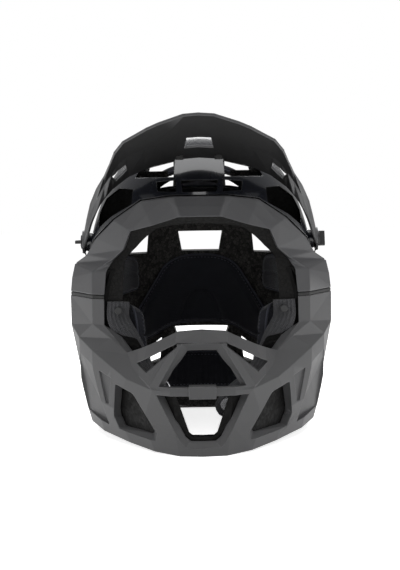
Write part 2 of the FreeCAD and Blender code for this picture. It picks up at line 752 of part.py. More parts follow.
def visor_bumper_shape(visor):
    """A rubber foot that follows the underside of the visor's root."""
    across, along = BUMPER
    ray = Part.makeLine(Vector(across, along, 200), Vector(across, along, 300))
    under = min(vertex.Z for vertex in ray.common(visor).Vertexes)
    height = size("bumper_height")
    foot = Part.makeCylinder(size("bumper_radius"), height + 3, Vector(across, along, under - height))
    return biggest(foot.cut(visor))


# Straps

STRAP_ROUTE = ((74, -56.9, 120), (74, -56.9, 104), (64, -66, 86), (54, -82, 66), (40, -97, 51),
               (27, -112, 42), (15, -121, 27))
SHORT_ROUTE = ((74, -56.9, 120), (74, -56.9, 104), (64, -66, 86), (54, -80, 66), (46, -88, 53))
STRAP_FACING = Vector(-0.25, -1, 0.25)
ANCHOR = (74, -54, 112)


def strap_section(route, number, side, room):
    here = Vector(*route[number])
    before = Vector(*route[max(number - 1, 0)])
    after = Vector(*route[min(number + 1, len(route) - 1)])
    run = (after - before).normalize()
    facing = Vector(0, -1, 0) if number < 2 else STRAP_FACING
    across = run.cross(facing).normalize()
    outwards = across.cross(run).normalize()
    half = size("strap_width") / 2 + room
    wall = size("strap_wall") / 2 + room
    corners = [here + across * half + outwards * wall, here - across * half + outwards * wall,
               here - across * half - outwards * wall, here + across * half - outwards * wall]
    return [Vector(side * point.x, point.y, point.z) for point in corners]


def strap_shape(route, side, room=0):
    return faceted([strap_section(route, number, side, room) for number in range(len(route))], True)


def strap_channels():
    """Room in the foam for the upper run of both straps."""
    gap = size("strap_gap")
    return [strap_shape(route, side, gap) for route, side in ((STRAP_ROUTE[:5], 1), (SHORT_ROUTE, -1))]


def strap_end(route, side):
    """Where a strap ends, which way it runs there, and which way its face looks."""
    last = Vector(*route[-1])
    run = (last - Vector(*route[-2])).normalize()
    across = run.cross(STRAP_FACING).normalize()
    outwards = across.cross(run).normalize()
    return [Vector(side * vector.x, vector.y, vector.z) for vector in (last, run, outwards)]


RING_SHIFTS = (-2.2, 2.2)


def ring_place(shift):
    """Middle and axis of a strap ring, whose wire passes through the folded end of the short strap."""
    last, run, outwards = strap_end(SHORT_ROUTE, -1)
    reach = size("ring_radius") + size("ring_wire") + 1
    return last + run * (reach - 3) + outwards * shift, outwards


def short_strap_shape():
    strap = strap_shape(SHORT_ROUTE, -1)
    last, run, outwards = strap_end(SHORT_ROUTE, -1)
    across = run.cross(outwards).normalize()
    half = size("strap_width") / 2 - 3
    wall = size("loop_wall") / 2
    corners = [last + across * half + outwards * wall, last - across * half + outwards * wall,
               last - across * half - outwards * wall, last + across * half - outwards * wall]
    face = Part.Face(polygon([point - run * 4 for point in corners]))
    loop = face.extrude(run * 9)
    rings = []
    for shift in RING_SHIFTS:
        middle, axis = ring_place(shift)
        rings.append(Part.makeTorus(size("ring_radius"), size("ring_wire") + size("screw_fit"), middle, axis))
    return biggest(strap.fuse(loop).cut(rings))


PIECES = []


def middle_shift():
    """How far back the helmet moves, so that the box of the whole is centred."""
    rear = size("rear_stretch") * (size("shell_half_width") + size("rear_shell_proud"))
    return Vector(0, (size("visor_tip") - rear) / 2, 0)


def add_piece(name, shape):
    piece = DOC.addObject("Part::Feature", name)
    piece.Label = name
    piece.Shape = shape
    piece.Placement = FreeCAD.Placement(middle_shift(), FreeCAD.Rotation())
    PIECES.append(piece)
    return piece


def add_pair(name, shape):
    add_piece(name + "_left", shape)
    add_piece(name + "_right", mirrored(shape))


def sized(kind, name, sizes, base, axis):
    """A simple solid whose sizes are formulas on the sheet."""
    item = DOC.addObject(kind, name)
    for field, formula in sizes:
        item.setExpression(field, formula)
    item.Placement = FreeCAD.Placement(base + middle_shift(), FreeCAD.Rotation(Vector(0, 0, 1), axis))
    return item


def sized_cylinder(name, radius, length, base, axis):
    return sized("Part::Cylinder", name, [("Radius", radius), ("Height", length)], base, axis)


def add_item(item, label):
    item.Label = label
    PIECES.append(item)
    return item


def add_cut(label, base, tool):
    cut = DOC.addObject("Part::Cut", label)
    cut.Base = base
    cut.Tool = tool
    return add_item(cut, label)


def on_pivot(side, across):
    return Vector(side * across, 0, size("pivot_height"))


def add_pivot_hardware(word, side):
    """Insert, washer and thumb screw of the visor on one side."""
    out = Vector(side, 0, 0)
    seat = size("pivot_seat")
    bottom = on_pivot(side, seat - size("pivot_gap") - size("insert_length"))
    bore = "Sizes.screw_radius + Sizes.screw_fit"
    body = sized_cylinder("insert_body_" + word, "Sizes.insert_radius", "Sizes.insert_length", bottom, out)
    hole = sized_cylinder("insert_hole_" + word, bore, "Sizes.insert_length", bottom, out)
    add_cut("screw_insert_" + word, body, hole)
    start = on_pivot(side, seat + size("pivot_gap"))
    body = sized_cylinder("washer_body_" + word, "Sizes.washer_radius", "Sizes.washer_wall", start, out)
    hole = sized_cylinder("washer_hole_" + word, bore, "Sizes.washer_wall", start, out)
    add_cut("visor_washer_" + word, body, hole)
    add_thumb_screw(word, side)


def add_thumb_screw(word, side):
    out = Vector(side, 0, 0)
    start = on_pivot(side, size("pivot_seat") - size("insert_length") + 1)
    flange = on_pivot(side, arm_face() + size("pivot_gap"))
    length = "Sizes.pivot_gap * 4 + Sizes.washer_wall + Sizes.arm_wall + Sizes.insert_length - 1"
    shank = sized_cylinder("shank_" + word, "Sizes.screw_radius", length, start, out)
    disc = sized_cylinder("flange_" + word, "Sizes.flange_radius", "Sizes.flange_wall", flange, out)
    turned = Vector(0, 1, 0) if side < 0 else Vector(0, 0.34, 0.94)
    upright = out.cross(turned).normalize()
    spin = FreeCAD.Rotation(out, turned, upright, "XYZ")
    wing = DOC.addObject("Part::Box", "wing_" + word)
    wing.setExpression("Length", "Sizes.wing_reach + 1")
    wing.setExpression("Width", "Sizes.wing_span")
    wing.setExpression("Height", "Sizes.wing_wall")
    base = flange + out * (size("flange_wall") - 1)
    base = base - turned * (size("wing_span") / 2) - upright * (size("wing_wall") / 2)
    wing.Placement = FreeCAD.Placement(base + middle_shift(), spin)
    screw = DOC.addObject("Part::MultiFuse", "thumb_screw_" + word)
    screw.Shapes = [shank, disc, wing]
    add_item(screw, "thumb_screw_" + word)


def add_strap_hardware(word, side):
    """Anchor plate and rivet at the upper end of one strap."""
    across, along, level = ANCHOR
    wide = size("anchor_width")
    front = Vector(0, -1, 0)
    plate = DOC.addObject("Part::Box", "strap_anchor_" + word)
    plate.setExpression("Length", "Sizes.anchor_width")
    plate.setExpression("Width", "Sizes.anchor_wall")
    plate.setExpression("Height", "Sizes.anchor_width")
    place = Vector(side * across - wide / 2, along - size("anchor_wall"), level - wide / 2)
    plate.Placement = FreeCAD.Placement(place + middle_shift(), FreeCAD.Rotation())
    add_item(plate, "strap_anchor_" + word)
    head = Vector(side * across, along - size("anchor_wall") - size("strap_wall") - 0.4, level)
    rivet = sized_cylinder("strap_rivet_" + word, "Sizes.rivet_radius", "Sizes.rivet_wall", head, front)
    add_item(rivet, "strap_rivet_" + word)


def add_rings():
    for word, shift in zip(("front", "rear"), RING_SHIFTS):
        middle, axis = ring_place(shift)
        sizes = [("Radius1", "Sizes.ring_radius"), ("Radius2", "Sizes.ring_wire")]
        add_item(sized("Part::Torus", "strap_ring_" + word, sizes, middle, axis), "strap_ring_" + word)


def add_snap_button():
    last, run, outwards = strap_end(STRAP_ROUTE, 1)
    base = last - run * 10 + outwards * (size("strap_wall") / 2 + 0.1)
    button = sized_cylinder("snap_button", "Sizes.snap_radius", "Sizes.snap_wall", base, outwards)
    add_item(button, "snap_button")


def build():
    frame = brow_frame_shape()
    bar = chin_bar_shape(chin_bar_blank())
    bar = bar.fuse(crossbar_block(bar)).removeSplitter()
    jaw_foam = chin_liner_shape(chin_liner_blank().cut([shell_room()] + strap_channels()))
    add_piece("brow_frame", frame)
    add_piece("chin_bar", bar)
    add_piece("chin_liner", jaw_foam)
    strip = seam_strip_shape(1)
    add_pair("seam_strip", strip)
    add_piece("upper_shell", upper_shell_shape(frame))
    add_piece("rear_shell", rear_shell_shape())
    liner = crown_liner_shape([frame, bar, jaw_foam, strip, mirrored(strip)])
    for name, shape in zip(("crown_liner", "back_liner", "nape_liner"), crown_liner_parts(liner)):
        add_piece(name, shape)
    visor = visor_shape()
    add_piece("visor", visor)
    add_pair("visor_bumper", visor_bumper_shape(visor))
    add_piece("brow_pad", brow_pad_shape())
    add_piece("rear_pad", rear_pad_shape())
    add_piece("nape_pad", nape_pad_shape())
    add_piece("crown_pad", crown_pad_shape())
    add_pair("temple_pad", temple_pad_shape())
    add_pair("cheek_pad", cheek_pad_shape())
    add_pair("cheek_plate", cheek_plate_shape())
    add_piece("strap_left", strap_shape(STRAP_ROUTE, 1))
    add_piece("strap_right", short_strap_shape())
    for word, side in (("left", 1), ("right", -1)):
        add_pivot_hardware(word, side)
        add_strap_hardware(word, side)
    add_rings()
    add_snap_button()
    DOC.recompute()


def check_and_export():
    for item in DOC.Objects:
        if "Invalid" in item.State or "Error" in item.State:
            raise RuntimeError("%s is not valid" % item.Label)
    os.makedirs("parts", exist_ok=True)
    for piece in PIECES:
        shape = piece.Shape
        if shape.isNull() or not shape.isValid() or len(shape.Solids) != 1:
            raise RuntimeError("%s has no valid solid" % piece.Label)
        shape.exportStep("parts/%s.step" % piece.Label)


build()
check_and_export()
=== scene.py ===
import math

import bmesh
import bpy
from mathutils import Matrix, Vector
from mathutils.geometry import delaunay_2d_cdt


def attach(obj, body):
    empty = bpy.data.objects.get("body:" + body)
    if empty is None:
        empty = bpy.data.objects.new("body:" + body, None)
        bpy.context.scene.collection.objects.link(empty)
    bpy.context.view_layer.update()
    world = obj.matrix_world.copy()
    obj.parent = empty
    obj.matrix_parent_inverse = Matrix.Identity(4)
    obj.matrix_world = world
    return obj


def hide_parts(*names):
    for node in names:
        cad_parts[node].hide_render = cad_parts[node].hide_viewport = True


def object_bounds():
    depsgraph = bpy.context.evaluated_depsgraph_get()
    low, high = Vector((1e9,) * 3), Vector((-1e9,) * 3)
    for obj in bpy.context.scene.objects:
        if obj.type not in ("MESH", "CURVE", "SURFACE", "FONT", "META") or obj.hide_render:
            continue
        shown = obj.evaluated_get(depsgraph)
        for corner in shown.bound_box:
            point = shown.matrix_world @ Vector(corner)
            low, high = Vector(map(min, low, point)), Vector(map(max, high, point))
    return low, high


bl_info = {
    "name": "Full-face helmet",
    "version": (1, 0, 0),
    "blender": (4, 5, 0),
    "location": "3D View > Sidebar > Helmet",
    "description": "Dresses the frame of a full-face downhill helmet with paint, foam, padding and straps",
    "category": "Object",
}

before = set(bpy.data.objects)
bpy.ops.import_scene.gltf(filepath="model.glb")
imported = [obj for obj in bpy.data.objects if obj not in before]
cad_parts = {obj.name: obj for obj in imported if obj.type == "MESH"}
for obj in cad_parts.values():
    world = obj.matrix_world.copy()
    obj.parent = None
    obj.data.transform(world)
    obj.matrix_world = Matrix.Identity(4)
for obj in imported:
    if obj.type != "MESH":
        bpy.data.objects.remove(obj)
CAD_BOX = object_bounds()

MM = 0.001
# The middle of the head cavity lies this far behind the origin, in millimetres.
HEAD_BACK = 34.392
# A point in the middle of the head, in metres: what faces it on the visor is its underside.
HEAD_MIDDLE = (0.0, 0.034, 0.14)
SIDES = (("left", 1), ("right", -1))


# Settings that a user may change

class HelmetFinish(bpy.types.PropertyGroup):
    # The brow frame's paint is written darker than the chin bar's, as painted shade under the visor.
    frame_colour: bpy.props.FloatVectorProperty(
        name="Brow frame", description="Satin paint of the brow frame", subtype="COLOR", size=3,
        default=(0.052, 0.052, 0.055))
    chin_colour: bpy.props.FloatVectorProperty(
        name="Chin bar", description="Satin paint of the chin bar", subtype="COLOR", size=3,
        default=(0.066, 0.066, 0.068))
    shell_colour: bpy.props.FloatVectorProperty(
        name="Crown shell", description="Gloss lacquer of the crown shell", subtype="COLOR", size=3,
        default=(0.006, 0.007, 0.011))
    visor_colour: bpy.props.FloatVectorProperty(
        name="Visor", description="Satin paint of the visor", subtype="COLOR", size=3,
        default=(0.06, 0.06, 0.062))
    foam_colour: bpy.props.FloatVectorProperty(
        name="Foam", description="Beaded foam of the liner", subtype="COLOR", size=3,
        default=(0.0125, 0.012, 0.0115))
    fabric_colour: bpy.props.FloatVectorProperty(
        name="Pad fabric", description="Knitted cover of the pads", subtype="COLOR", size=3,
        default=(0.023, 0.024, 0.031))
    webbing_colour: bpy.props.FloatVectorProperty(
        name="Strap webbing", description="Woven chin strap", subtype="COLOR", size=3,
        default=(0.034, 0.034, 0.038))


class HelmetSizes(bpy.types.PropertyGroup):
    edge_radius: bpy.props.FloatProperty(
        name="Edge radius", description="Rounding of the painted edges", subtype="DISTANCE", unit="LENGTH",
        default=0.0011, min=0.0001, max=0.003)
    pad_spacing: bpy.props.FloatProperty(
        name="Pad mesh", description="Distance between the points of a pad's mesh", subtype="DISTANCE",
        unit="LENGTH", default=0.0022, min=0.001, max=0.01)
    piping_radius: bpy.props.FloatProperty(
        name="Piping", description="Radius of the piping round the pads", subtype="DISTANCE", unit="LENGTH",
        default=0.0011, min=0.0003, max=0.003)
    bead_size: bpy.props.FloatProperty(
        name="Foam bead", description="Size of one bead of the foam", subtype="DISTANCE", unit="LENGTH",
        default=0.0032, min=0.001, max=0.01)
    rib_height: bpy.props.FloatProperty(
        name="Webbing rib", description="Height of the ribs that run along the straps", subtype="DISTANCE",
        unit="LENGTH", default=0.0005, min=0.0, max=0.002)


class HelmetStage(bpy.types.PropertyGroup):
    key_power: bpy.props.FloatProperty(
        name="Key light", description="Power of the large light overhead", unit="POWER", default=18.0,
        min=0.0)
    side_power: bpy.props.FloatProperty(
        name="Side lights", description="Power of each side light", unit="POWER", default=4.5, min=0.0)
    low_power: bpy.props.FloatProperty(
        name="Low light", description="Power of the low light in front", unit="POWER", default=2.0, min=0.0)
    back_power: bpy.props.FloatProperty(
        name="Back light", description="Power of the light behind the helmet", unit="POWER", default=14.0,
        min=0.0)
    sky_strength: bpy.props.FloatProperty(
        name="Surround", description="Strength of the pale surround", default=0.27, min=0.0)


def finish():
    return bpy.context.scene.helmet_finish


def sizes():
    return bpy.context.scene.helmet_sizes


# Shader helpers

def link(tree, start, end):
    tree.links.new(start, end)


def feed(tree, value, socket):
    """Sets a socket to a number or a colour, or links another socket to it."""
    if isinstance(value, bpy.types.NodeSocket):
        link(tree, value, socket)
    else:
        socket.default_value = value


def new_group(name, setting, value, outputs):
    """A shader group that takes a place and one number, and its two end nodes."""
    group = bpy.data.node_groups.new(name, "ShaderNodeTree")
    group.interface.new_socket("Vector", in_out="INPUT", socket_type="NodeSocketVector")
    socket = group.interface.new_socket(setting, in_out="INPUT", socket_type="NodeSocketFloat")
    socket.default_value = value
    for label in outputs:
        kind = "NodeSocketVector" if label == "Normal" else "NodeSocketFloat"
        group.interface.new_socket(label, in_out="OUTPUT", socket_type=kind)
    return group, group.nodes.new("NodeGroupInput"), group.nodes.new("NodeGroupOutput")


def math_node(tree, operation, first, second=None, third=None):
    """The result of a sum, whose values are numbers or sockets."""
    node = tree.nodes.new("ShaderNodeMath")
    node.operation = operation
    for index, value in enumerate((first, second, third)):
        if value is not None:
            feed(tree, value, node.inputs[index])
    return node.outputs[0]


def noise(tree, vector, scale, detail, roughness):
    """Cloudy noise between 0 and 1."""
    node = tree.nodes.new("ShaderNodeTexNoise")
    node.inputs["Detail"].default_value = detail
    node.inputs["Roughness"].default_value = roughness
    link(tree, vector, node.inputs["Vector"])
    feed(tree, scale, node.inputs["Scale"])
    return node.outputs["Fac"]


def ramp(tree, value, low, high):
    """A soft step from 0 at the low value to 1 at the high one."""
    node = tree.nodes.new("ShaderNodeMapRange")
    node.interpolation_type = "SMOOTHSTEP"
    node.inputs["From Min"].default_value = low
    node.inputs["From Max"].default_value = high
    link(tree, value, node.inputs["Value"])
    return node.outputs["Result"]


def split(tree, vector):
    """The X, Y and Z of a vector."""
    node = tree.nodes.new("ShaderNodeSeparateXYZ")
    link(tree, vector, node.inputs["Vector"])
    return node.outputs


def vector_math(tree, operation, first, second=None):
    """The outputs of a sum of vectors."""
    node = tree.nodes.new("ShaderNodeVectorMath")
    node.operation = operation
    feed(tree, first, node.inputs[0])
    if second is not None:
        feed(tree, second, node.inputs[1])
    return node.outputs


def build_paint_grain():
    """Fine orange peel, soft cloudiness and faint rubbed marks of a painted or moulded surface."""
    group, start, end = new_group("paint_grain", "Grain Scale", 1500.0, ("Height", "Cloud", "Rub"))
    vector = start.outputs["Vector"]
    fine = noise(group, vector, start.outputs["Grain Scale"], detail=3.0, roughness=0.6)
    coarse = noise(group, vector, 420.0, detail=2.0, roughness=0.5)
    link(group, math_node(group, "MULTIPLY_ADD", coarse, 0.5, fine), end.inputs["Height"])
    cloud = noise(group, vector, 22.0, detail=4.0, roughness=0.6)
    link(group, ramp(group, cloud, 0.35, 0.7), end.inputs["Cloud"])
    rub = noise(group, vector, 160.0, detail=6.0, roughness=0.75)
    link(group, ramp(group, rub, 0.6, 0.78), end.inputs["Rub"])
    return group


def build_edge_wear_highlight():
    """Rounded normals along the edges, and a mask of those edges that noise breaks up a little; the paints
    lighten their edges by this mask, partly as wear and partly as a painted highlight.
    """
    group, start, end = new_group("edge_wear", "Radius", 0.0012, ("Mask", "Normal"))
    rounded_edge = group.nodes.new("ShaderNodeBevel")
    rounded_edge.samples = 6
    link(group, start.outputs["Radius"], rounded_edge.inputs["Radius"])
    geometry = group.nodes.new("ShaderNodeNewGeometry")
    product = vector_math(group, "DOT_PRODUCT", rounded_edge.outputs["Normal"], geometry.outputs["Normal"])
    turned = math_node(group, "SUBTRACT", 1.0, product["Value"])
    patches = noise(group, start.outputs["Vector"], 60.0, detail=4.0, roughness=0.6)
    patchy = mix_value(group, ramp(group, patches, 0.3, 0.7), 0.6, 1.0)
    link(group, math_node(group, "MULTIPLY", ramp(group, turned, 0.002, 0.05), patchy), end.inputs["Mask"])
    link(group, rounded_edge.outputs["Normal"], end.inputs["Normal"])
    return group


def build_bead_foam():
    """Packed beads: domes, the dark lines between them and a tone of its own for each bead."""
    group, start, end = new_group("bead_foam", "Bead Scale", 300.0, ("Height", "Tone", "Line"))
    cells = group.nodes.new("ShaderNodeTexVoronoi")
    edges = group.nodes.new("ShaderNodeTexVoronoi")
    edges.feature = "DISTANCE_TO_EDGE"
    for cell in (cells, edges):
        link(group, start.outputs["Vector"], cell.inputs["Vector"])
        link(group, start.outputs["Bead Scale"], cell.inputs["Scale"])
    parts = group.nodes.new("ShaderNodeSeparateColor")
    link(group, cells.outputs["Color"], parts.inputs["Color"])
    dome = math_node(group, "SUBTRACT", 1.0, cells.outputs["Distance"])
    link(group, math_node(group, "POWER", dome, 0.7), end.inputs["Height"])
    link(group, parts.outputs["Red"], end.inputs["Tone"])
    gap = ramp(group, edges.outputs["Distance"], 0.0, 0.09)
    link(group, math_node(group, "SUBTRACT", 1.0, gap), end.inputs["Line"])
    return group


def build_knit():
    """Fine knitted mesh from two crossing rows of loops, with soft fuzz."""
    group, start, end = new_group("knit", "Loops", 900.0, ("Height", "Hole", "Fuzz"))
    parts = split(group, start.outputs["Vector"])
    turn = math_node(group, "MULTIPLY", start.outputs["Loops"], 2 * math.pi)
    across = math_node(group, "SINE", math_node(group, "MULTIPLY", parts["X"], turn))
    slant = math_node(group, "MULTIPLY", across, 0.9)
    row = math_node(group, "MULTIPLY_ADD", parts["Y"], turn, slant)
    crossed = math_node(group, "MULTIPLY", across, math_node(group, "COSINE", row))
    link(group, crossed, end.inputs["Height"])
    link(group, ramp(group, math_node(group, "ABSOLUTE", crossed), 0.55, 0.95), end.inputs["Hole"])
    fuzz = noise(group, start.outputs["Vector"], 2600.0, detail=4.0, roughness=0.7)
    link(group, fuzz, end.inputs["Fuzz"])
    return group


def build_webbing_weave():
    """Twill of a woven strap: slanted threads between the ribs."""
    group, start, end = new_group("webbing_weave", "Threads", 620.0, ("Height", "Fleck"))
    parts = split(group, start.outputs["Vector"])
    turn = math_node(group, "MULTIPLY", start.outputs["Threads"], 2 * math.pi)
    along = math_node(group, "MULTIPLY", parts["Y"], turn)
    across = math_node(group, "MULTIPLY", parts["X"], turn)
    twill = math_node(group, "SINE", math_node(group, "MULTIPLY_ADD", across, 0.6, along))
    half_turn = math_node(group, "COSINE", math_node(group, "MULTIPLY", across, 0.5))
    ribs = math_node(group, "ABSOLUTE", half_turn)
    link(group, math_node(group, "MULTIPLY_ADD", ribs, 0.7, twill), end.inputs["Height"])
    flecks = noise(group, start.outputs["Vector"], 1800.0, detail=3.0, roughness=0.6)
    link(group, ramp(group, flecks, 0.45, 0.8), end.inputs["Fleck"])
    return group


BUILDERS = {
    "paint_grain": build_paint_grain,
    "edge_wear": build_edge_wear_highlight,
    "bead_foam": build_bead_foam,
    "knit": build_knit,
    "webbing_weave": build_webbing_weave,
}
GROUPS = {}


def group_node(tree, name, vector, **values):
    """Places a shader group, which is built when it is first used, and sets its inputs."""
    if name not in GROUPS:
        GROUPS[name] = BUILDERS[name]()
    node = tree.nodes.new("ShaderNodeGroup")
    node.node_tree = GROUPS[name]
    link(tree, vector, node.inputs["Vector"])
    for label, value in values.items():
        node.inputs[label.replace("_", " ")].default_value = value
    return node


def new_material(name, roughness, metallic=0.0, gloss=0.5):
    """A material, its node tree and its shader."""
    made = bpy.data.materials.new(name)
    made.use_nodes = True
    tree = made.node_tree
    shader = tree.nodes["Principled BSDF"]
    shader.inputs["Roughness"].default_value = roughness
    shader.inputs["Metallic"].default_value = metallic
    shader.inputs["Specular IOR Level"].default_value = gloss
    return made, tree, shader


def object_vector(tree):
    return tree.nodes.new("ShaderNodeTexCoord").outputs["Object"]


def map_vector(tree):
    return tree.nodes.new("ShaderNodeTexCoord").outputs["UV"]


def toned(colour, factor):
    """A colour made lighter or darker."""
    return tuple(min(channel * factor, 1.0) for channel in colour)


def shade(colour, factor):
    """A lighter or darker colour as a socket takes it, with its alpha."""
    return toned(colour, factor) + (1.0,)


def mix_colour(tree, mask, first, second):
    """A colour that goes from the first to the second where the mask is 1."""
    node = tree.nodes.new("ShaderNodeMix")
    node.data_type = "RGBA"
    link(tree, mask, node.inputs["Factor"])
    feed(tree, first, node.inputs["A"])
    feed(tree, second, node.inputs["B"])
    return node.outputs["Result"]


def mix_value(tree, mask, first, second):
    """A number that goes from the first to the second where the mask is 1."""
    node = tree.nodes.new("ShaderNodeMapRange")
    link(tree, mask, node.inputs["Value"])
    node.inputs["To Min"].default_value = first
    node.inputs["To Max"].default_value = second
    return node.outputs["Result"]


def surface(tree, shader, colour, roughness):
    """Gives a shader the colour and the roughness that change over the surface."""
    link(tree, colour, shader.inputs["Base Color"])
    link(tree, roughness, shader.inputs["Roughness"])


def bump(tree, shader, height, strength, distance, base=None):
    """Fine relief on a material, over rounded normals where it has them."""
    relief = tree.nodes.new("ShaderNodeBump")
    relief.inputs["Strength"].default_value = strength
    relief.inputs["Distance"].default_value = distance
    link(tree, height, relief.inputs["Height"])
    if base is not None:
        link(tree, base, relief.inputs["Normal"])
    link(tree, relief.outputs["Normal"], shader.inputs["Normal"])


SATIN_ROUGHNESS = 0.52
SATIN_GRAIN = 1700.0
# Over this height, in metres, the front foam goes over into its lighter tone, which is painted light.
FOAM_STEP = 0.004


def paint_material(name, colour, roughness, grain, coat=0.0, wear_and_highlight=0.6, edge=0.0012):
    """Paint or moulded plastic with orange peel, cloudiness and lighter edges, partly rubbed and partly a
    painted highlight.
    """
    made, tree, shader = new_material(name, roughness, gloss=0.4)
    vector = object_vector(tree)
    skin = group_node(tree, "paint_grain", vector, Grain_Scale=grain)
    edges = group_node(tree, "edge_wear", vector, Radius=edge)
    body = mix_colour(tree, skin.outputs["Cloud"], shade(colour, 0.97), shade(colour, 1.03))
    rubbed = mix_colour(tree, skin.outputs["Rub"], body, shade(colour, 1.1))
    # The edges are painted lighter: partly wear, partly a painted highlight where rounded edges catch the
    # light.
    faint = math_node(tree, "MULTIPLY", edges.outputs["Mask"], wear_and_highlight)
    worn_and_highlit = mix_colour(tree, faint, rubbed, shade(colour, 2.2))
    surface(tree, shader, worn_and_highlit, mix_value(tree, skin.outputs["Cloud"], roughness - 0.02, roughness + 0.03))
    shader.inputs["Coat Weight"].default_value = coat
    shader.inputs["Coat Roughness"].default_value = 0.08
    bump(tree, shader, skin.outputs["Height"], strength=0.25, distance=0.00006, base=edges.outputs["Normal"])
    return made


def thread_material(name, colour):
    """Sewing thread, whose edges are lightened only a little, partly as wear and partly as a painted
    highlight.
    """
    return paint_material(name, colour, roughness=0.6, grain=3000.0, wear_and_highlight=0.1, edge=0.0002)


def visor_material(colour):
    """Satin paint on top and on the arms, with edges painted lighter, mostly a painted highlight and partly
    wear; the faces turned towards the head are near black, partly dark raw plastic and partly painted shade.
    """
    made, tree, shader = new_material("visor_satin", 0.5, gloss=0.28)
    coordinates = tree.nodes.new("ShaderNodeTexCoord")
    vector = coordinates.outputs["Object"]
    skin = group_node(tree, "paint_grain", vector, Grain_Scale=SATIN_GRAIN)
    edges = group_node(tree, "edge_wear", vector, Radius=0.0014)
    outwards = vector_math(tree, "SUBTRACT", vector, HEAD_MIDDLE)["Vector"]
    level = vector_math(tree, "NORMALIZE", outwards)["Vector"]
    facing = vector_math(tree, "DOT_PRODUCT", level, coordinates.outputs["Normal"])["Value"]
    # Faces turned towards the head are painted near black: painted shade under the visor, partly dark raw
    # plastic.
    below = ramp(tree, math_node(tree, "MULTIPLY", facing, -1.0), 0.12, 0.3)
    top = mix_colour(tree, skin.outputs["Cloud"], shade(colour, 0.97), shade(colour, 1.03))
    # The edges are painted much lighter, mostly a painted highlight along the rim and partly wear.
    faint = math_node(tree, "MULTIPLY", edges.outputs["Mask"], 0.5)
    top = mix_colour(tree, faint, top, shade(colour, 3.6))
    under = mix_colour(tree, skin.outputs["Cloud"], shade(colour, 0.04), shade(colour, 0.07))
    surface(tree, shader, mix_colour(tree, below, top, under), mix_value(tree, below, 0.46, 0.6))
    bump(tree, shader, skin.outputs["Height"], strength=0.3, distance=0.00008, base=edges.outputs["Normal"])
    return made


def foam_material(name, colour, above=None, level=0.0):
    """Beaded foam. Above a level it may have a lighter tone, as where light falls in through the vents."""
    made, tree, shader = new_material(name, 0.62, gloss=0.15)
    vector = object_vector(tree)
    beads = group_node(tree, "bead_foam", vector, Bead_Scale=1 / sizes().bead_size)
    tone = mix_colour(tree, beads.outputs["Tone"], shade(colour, 0.6), shade(colour, 2.2))
    if above is not None:
        lit = ramp(tree, split(tree, vector)["Z"], level - FOAM_STEP, level + FOAM_STEP)
        pale = mix_colour(tree, beads.outputs["Tone"], shade(above, 0.6), shade(above, 2.2))
        tone = mix_colour(tree, lit, tone, pale)
    lined = mix_colour(tree, beads.outputs["Line"], tone, shade(colour, 0.25))
    surface(tree, shader, lined, mix_value(tree, beads.outputs["Tone"], 0.5, 0.75))
    bump(tree, shader, beads.outputs["Height"], strength=0.6, distance=0.0005)
    return made


def fabric_material(name, colour, loops, sheen=0.35):
    """Knitted cover with open loops, soft fuzz and a faint sheen."""
    made, tree, shader = new_material(name, 0.85, gloss=0.2)
    knit = group_node(tree, "knit", map_vector(tree), Loops=loops)
    body = mix_colour(tree, knit.outputs["Fuzz"], shade(colour, 0.7), shade(colour, 1.5))
    holed = mix_colour(tree, knit.outputs["Hole"], body, shade(colour, 0.35))
    surface(tree, shader, holed, mix_value(tree, knit.outputs["Fuzz"], 0.78, 0.95))
    shader.inputs["Sheen Weight"].default_value = sheen
    shader.inputs["Sheen Roughness"].default_value = 0.45
    height = math_node(tree, "MULTIPLY_ADD", knit.outputs["Fuzz"], 0.5, knit.outputs["Height"])
    bump(tree, shader, height, strength=0.5, distance=0.00022)
    return made


def webbing_material(colour):
    """Woven strap with a twill and pale flecks."""
    made, tree, shader = new_material("strap_webbing", 0.72)
    weave = group_node(tree, "webbing_weave", map_vector(tree))
    flecked = mix_colour(tree, weave.outputs["Fleck"], shade(colour, 0.8), shade(colour, 1.9))
    surface(tree, shader, flecked, mix_value(tree, weave.outputs["Fleck"], 0.65, 0.8))
    shader.inputs["Sheen Weight"].default_value = 0.25
    bump(tree, shader, weave.outputs["Height"], strength=0.6, distance=0.00025)
    return made


def metal_material(name, colour, roughness):
    """Bare metal, a little cloudy and rubbed."""
    made, tree, shader = new_material(name, roughness, metallic=1.0)
    skin = group_node(tree, "paint_grain", object_vector(tree), Grain_Scale=2500.0)
    cloudy = mix_colour(tree, skin.outputs["Cloud"], shade(colour, 0.85), shade(colour, 1.1))
    surface(tree, shader, cloudy, mix_value(tree, skin.outputs["Rub"], roughness - 0.05, roughness + 0.15))
    bump(tree, shader, skin.outputs["Height"], strength=0.15, distance=0.00004)
    return made


# Mesh helpers

WELD_GAP = 0.00002
# An edge is rounded in so many steps, where its faces meet at more than so many degrees.
EDGE_STEPS = 3
EDGE_ANGLE = 9.0
VISOR_EDGE = 0.0006
SCREW_EDGE = 0.0004
# The chin bar has short edges between its facets, which a wider rounding would tear.
CHIN_EDGE_SHARE = 0.25


def give(piece, made):
    """One material in every slot of a piece."""
    if not piece.material_slots:
        piece.data.materials.append(made)
    for place in piece.material_slots:
        place.material = made
    return piece


def node(name):
    """A piece of the frame."""
    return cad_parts[name]


def pair(name):
    """The left and the right piece of the frame that share a name."""
    return [node(name + "_" + word) for word, _ in SIDES]


def new_piece(name, bm, made, body):
    """A smooth piece from a mesh in the making, riding on a body."""
    mesh = bpy.data.meshes.new(name)
    bmesh.ops.recalc_face_normals(bm, faces=bm.faces)
    bm.to_mesh(mesh)
    bm.free()
    for face in mesh.polygons:
        face.use_smooth = True
    piece = bpy.data.objects.new(name, mesh)
    bpy.context.scene.collection.objects.link(piece)
    give(piece, made)
    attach(piece, body)
    return piece


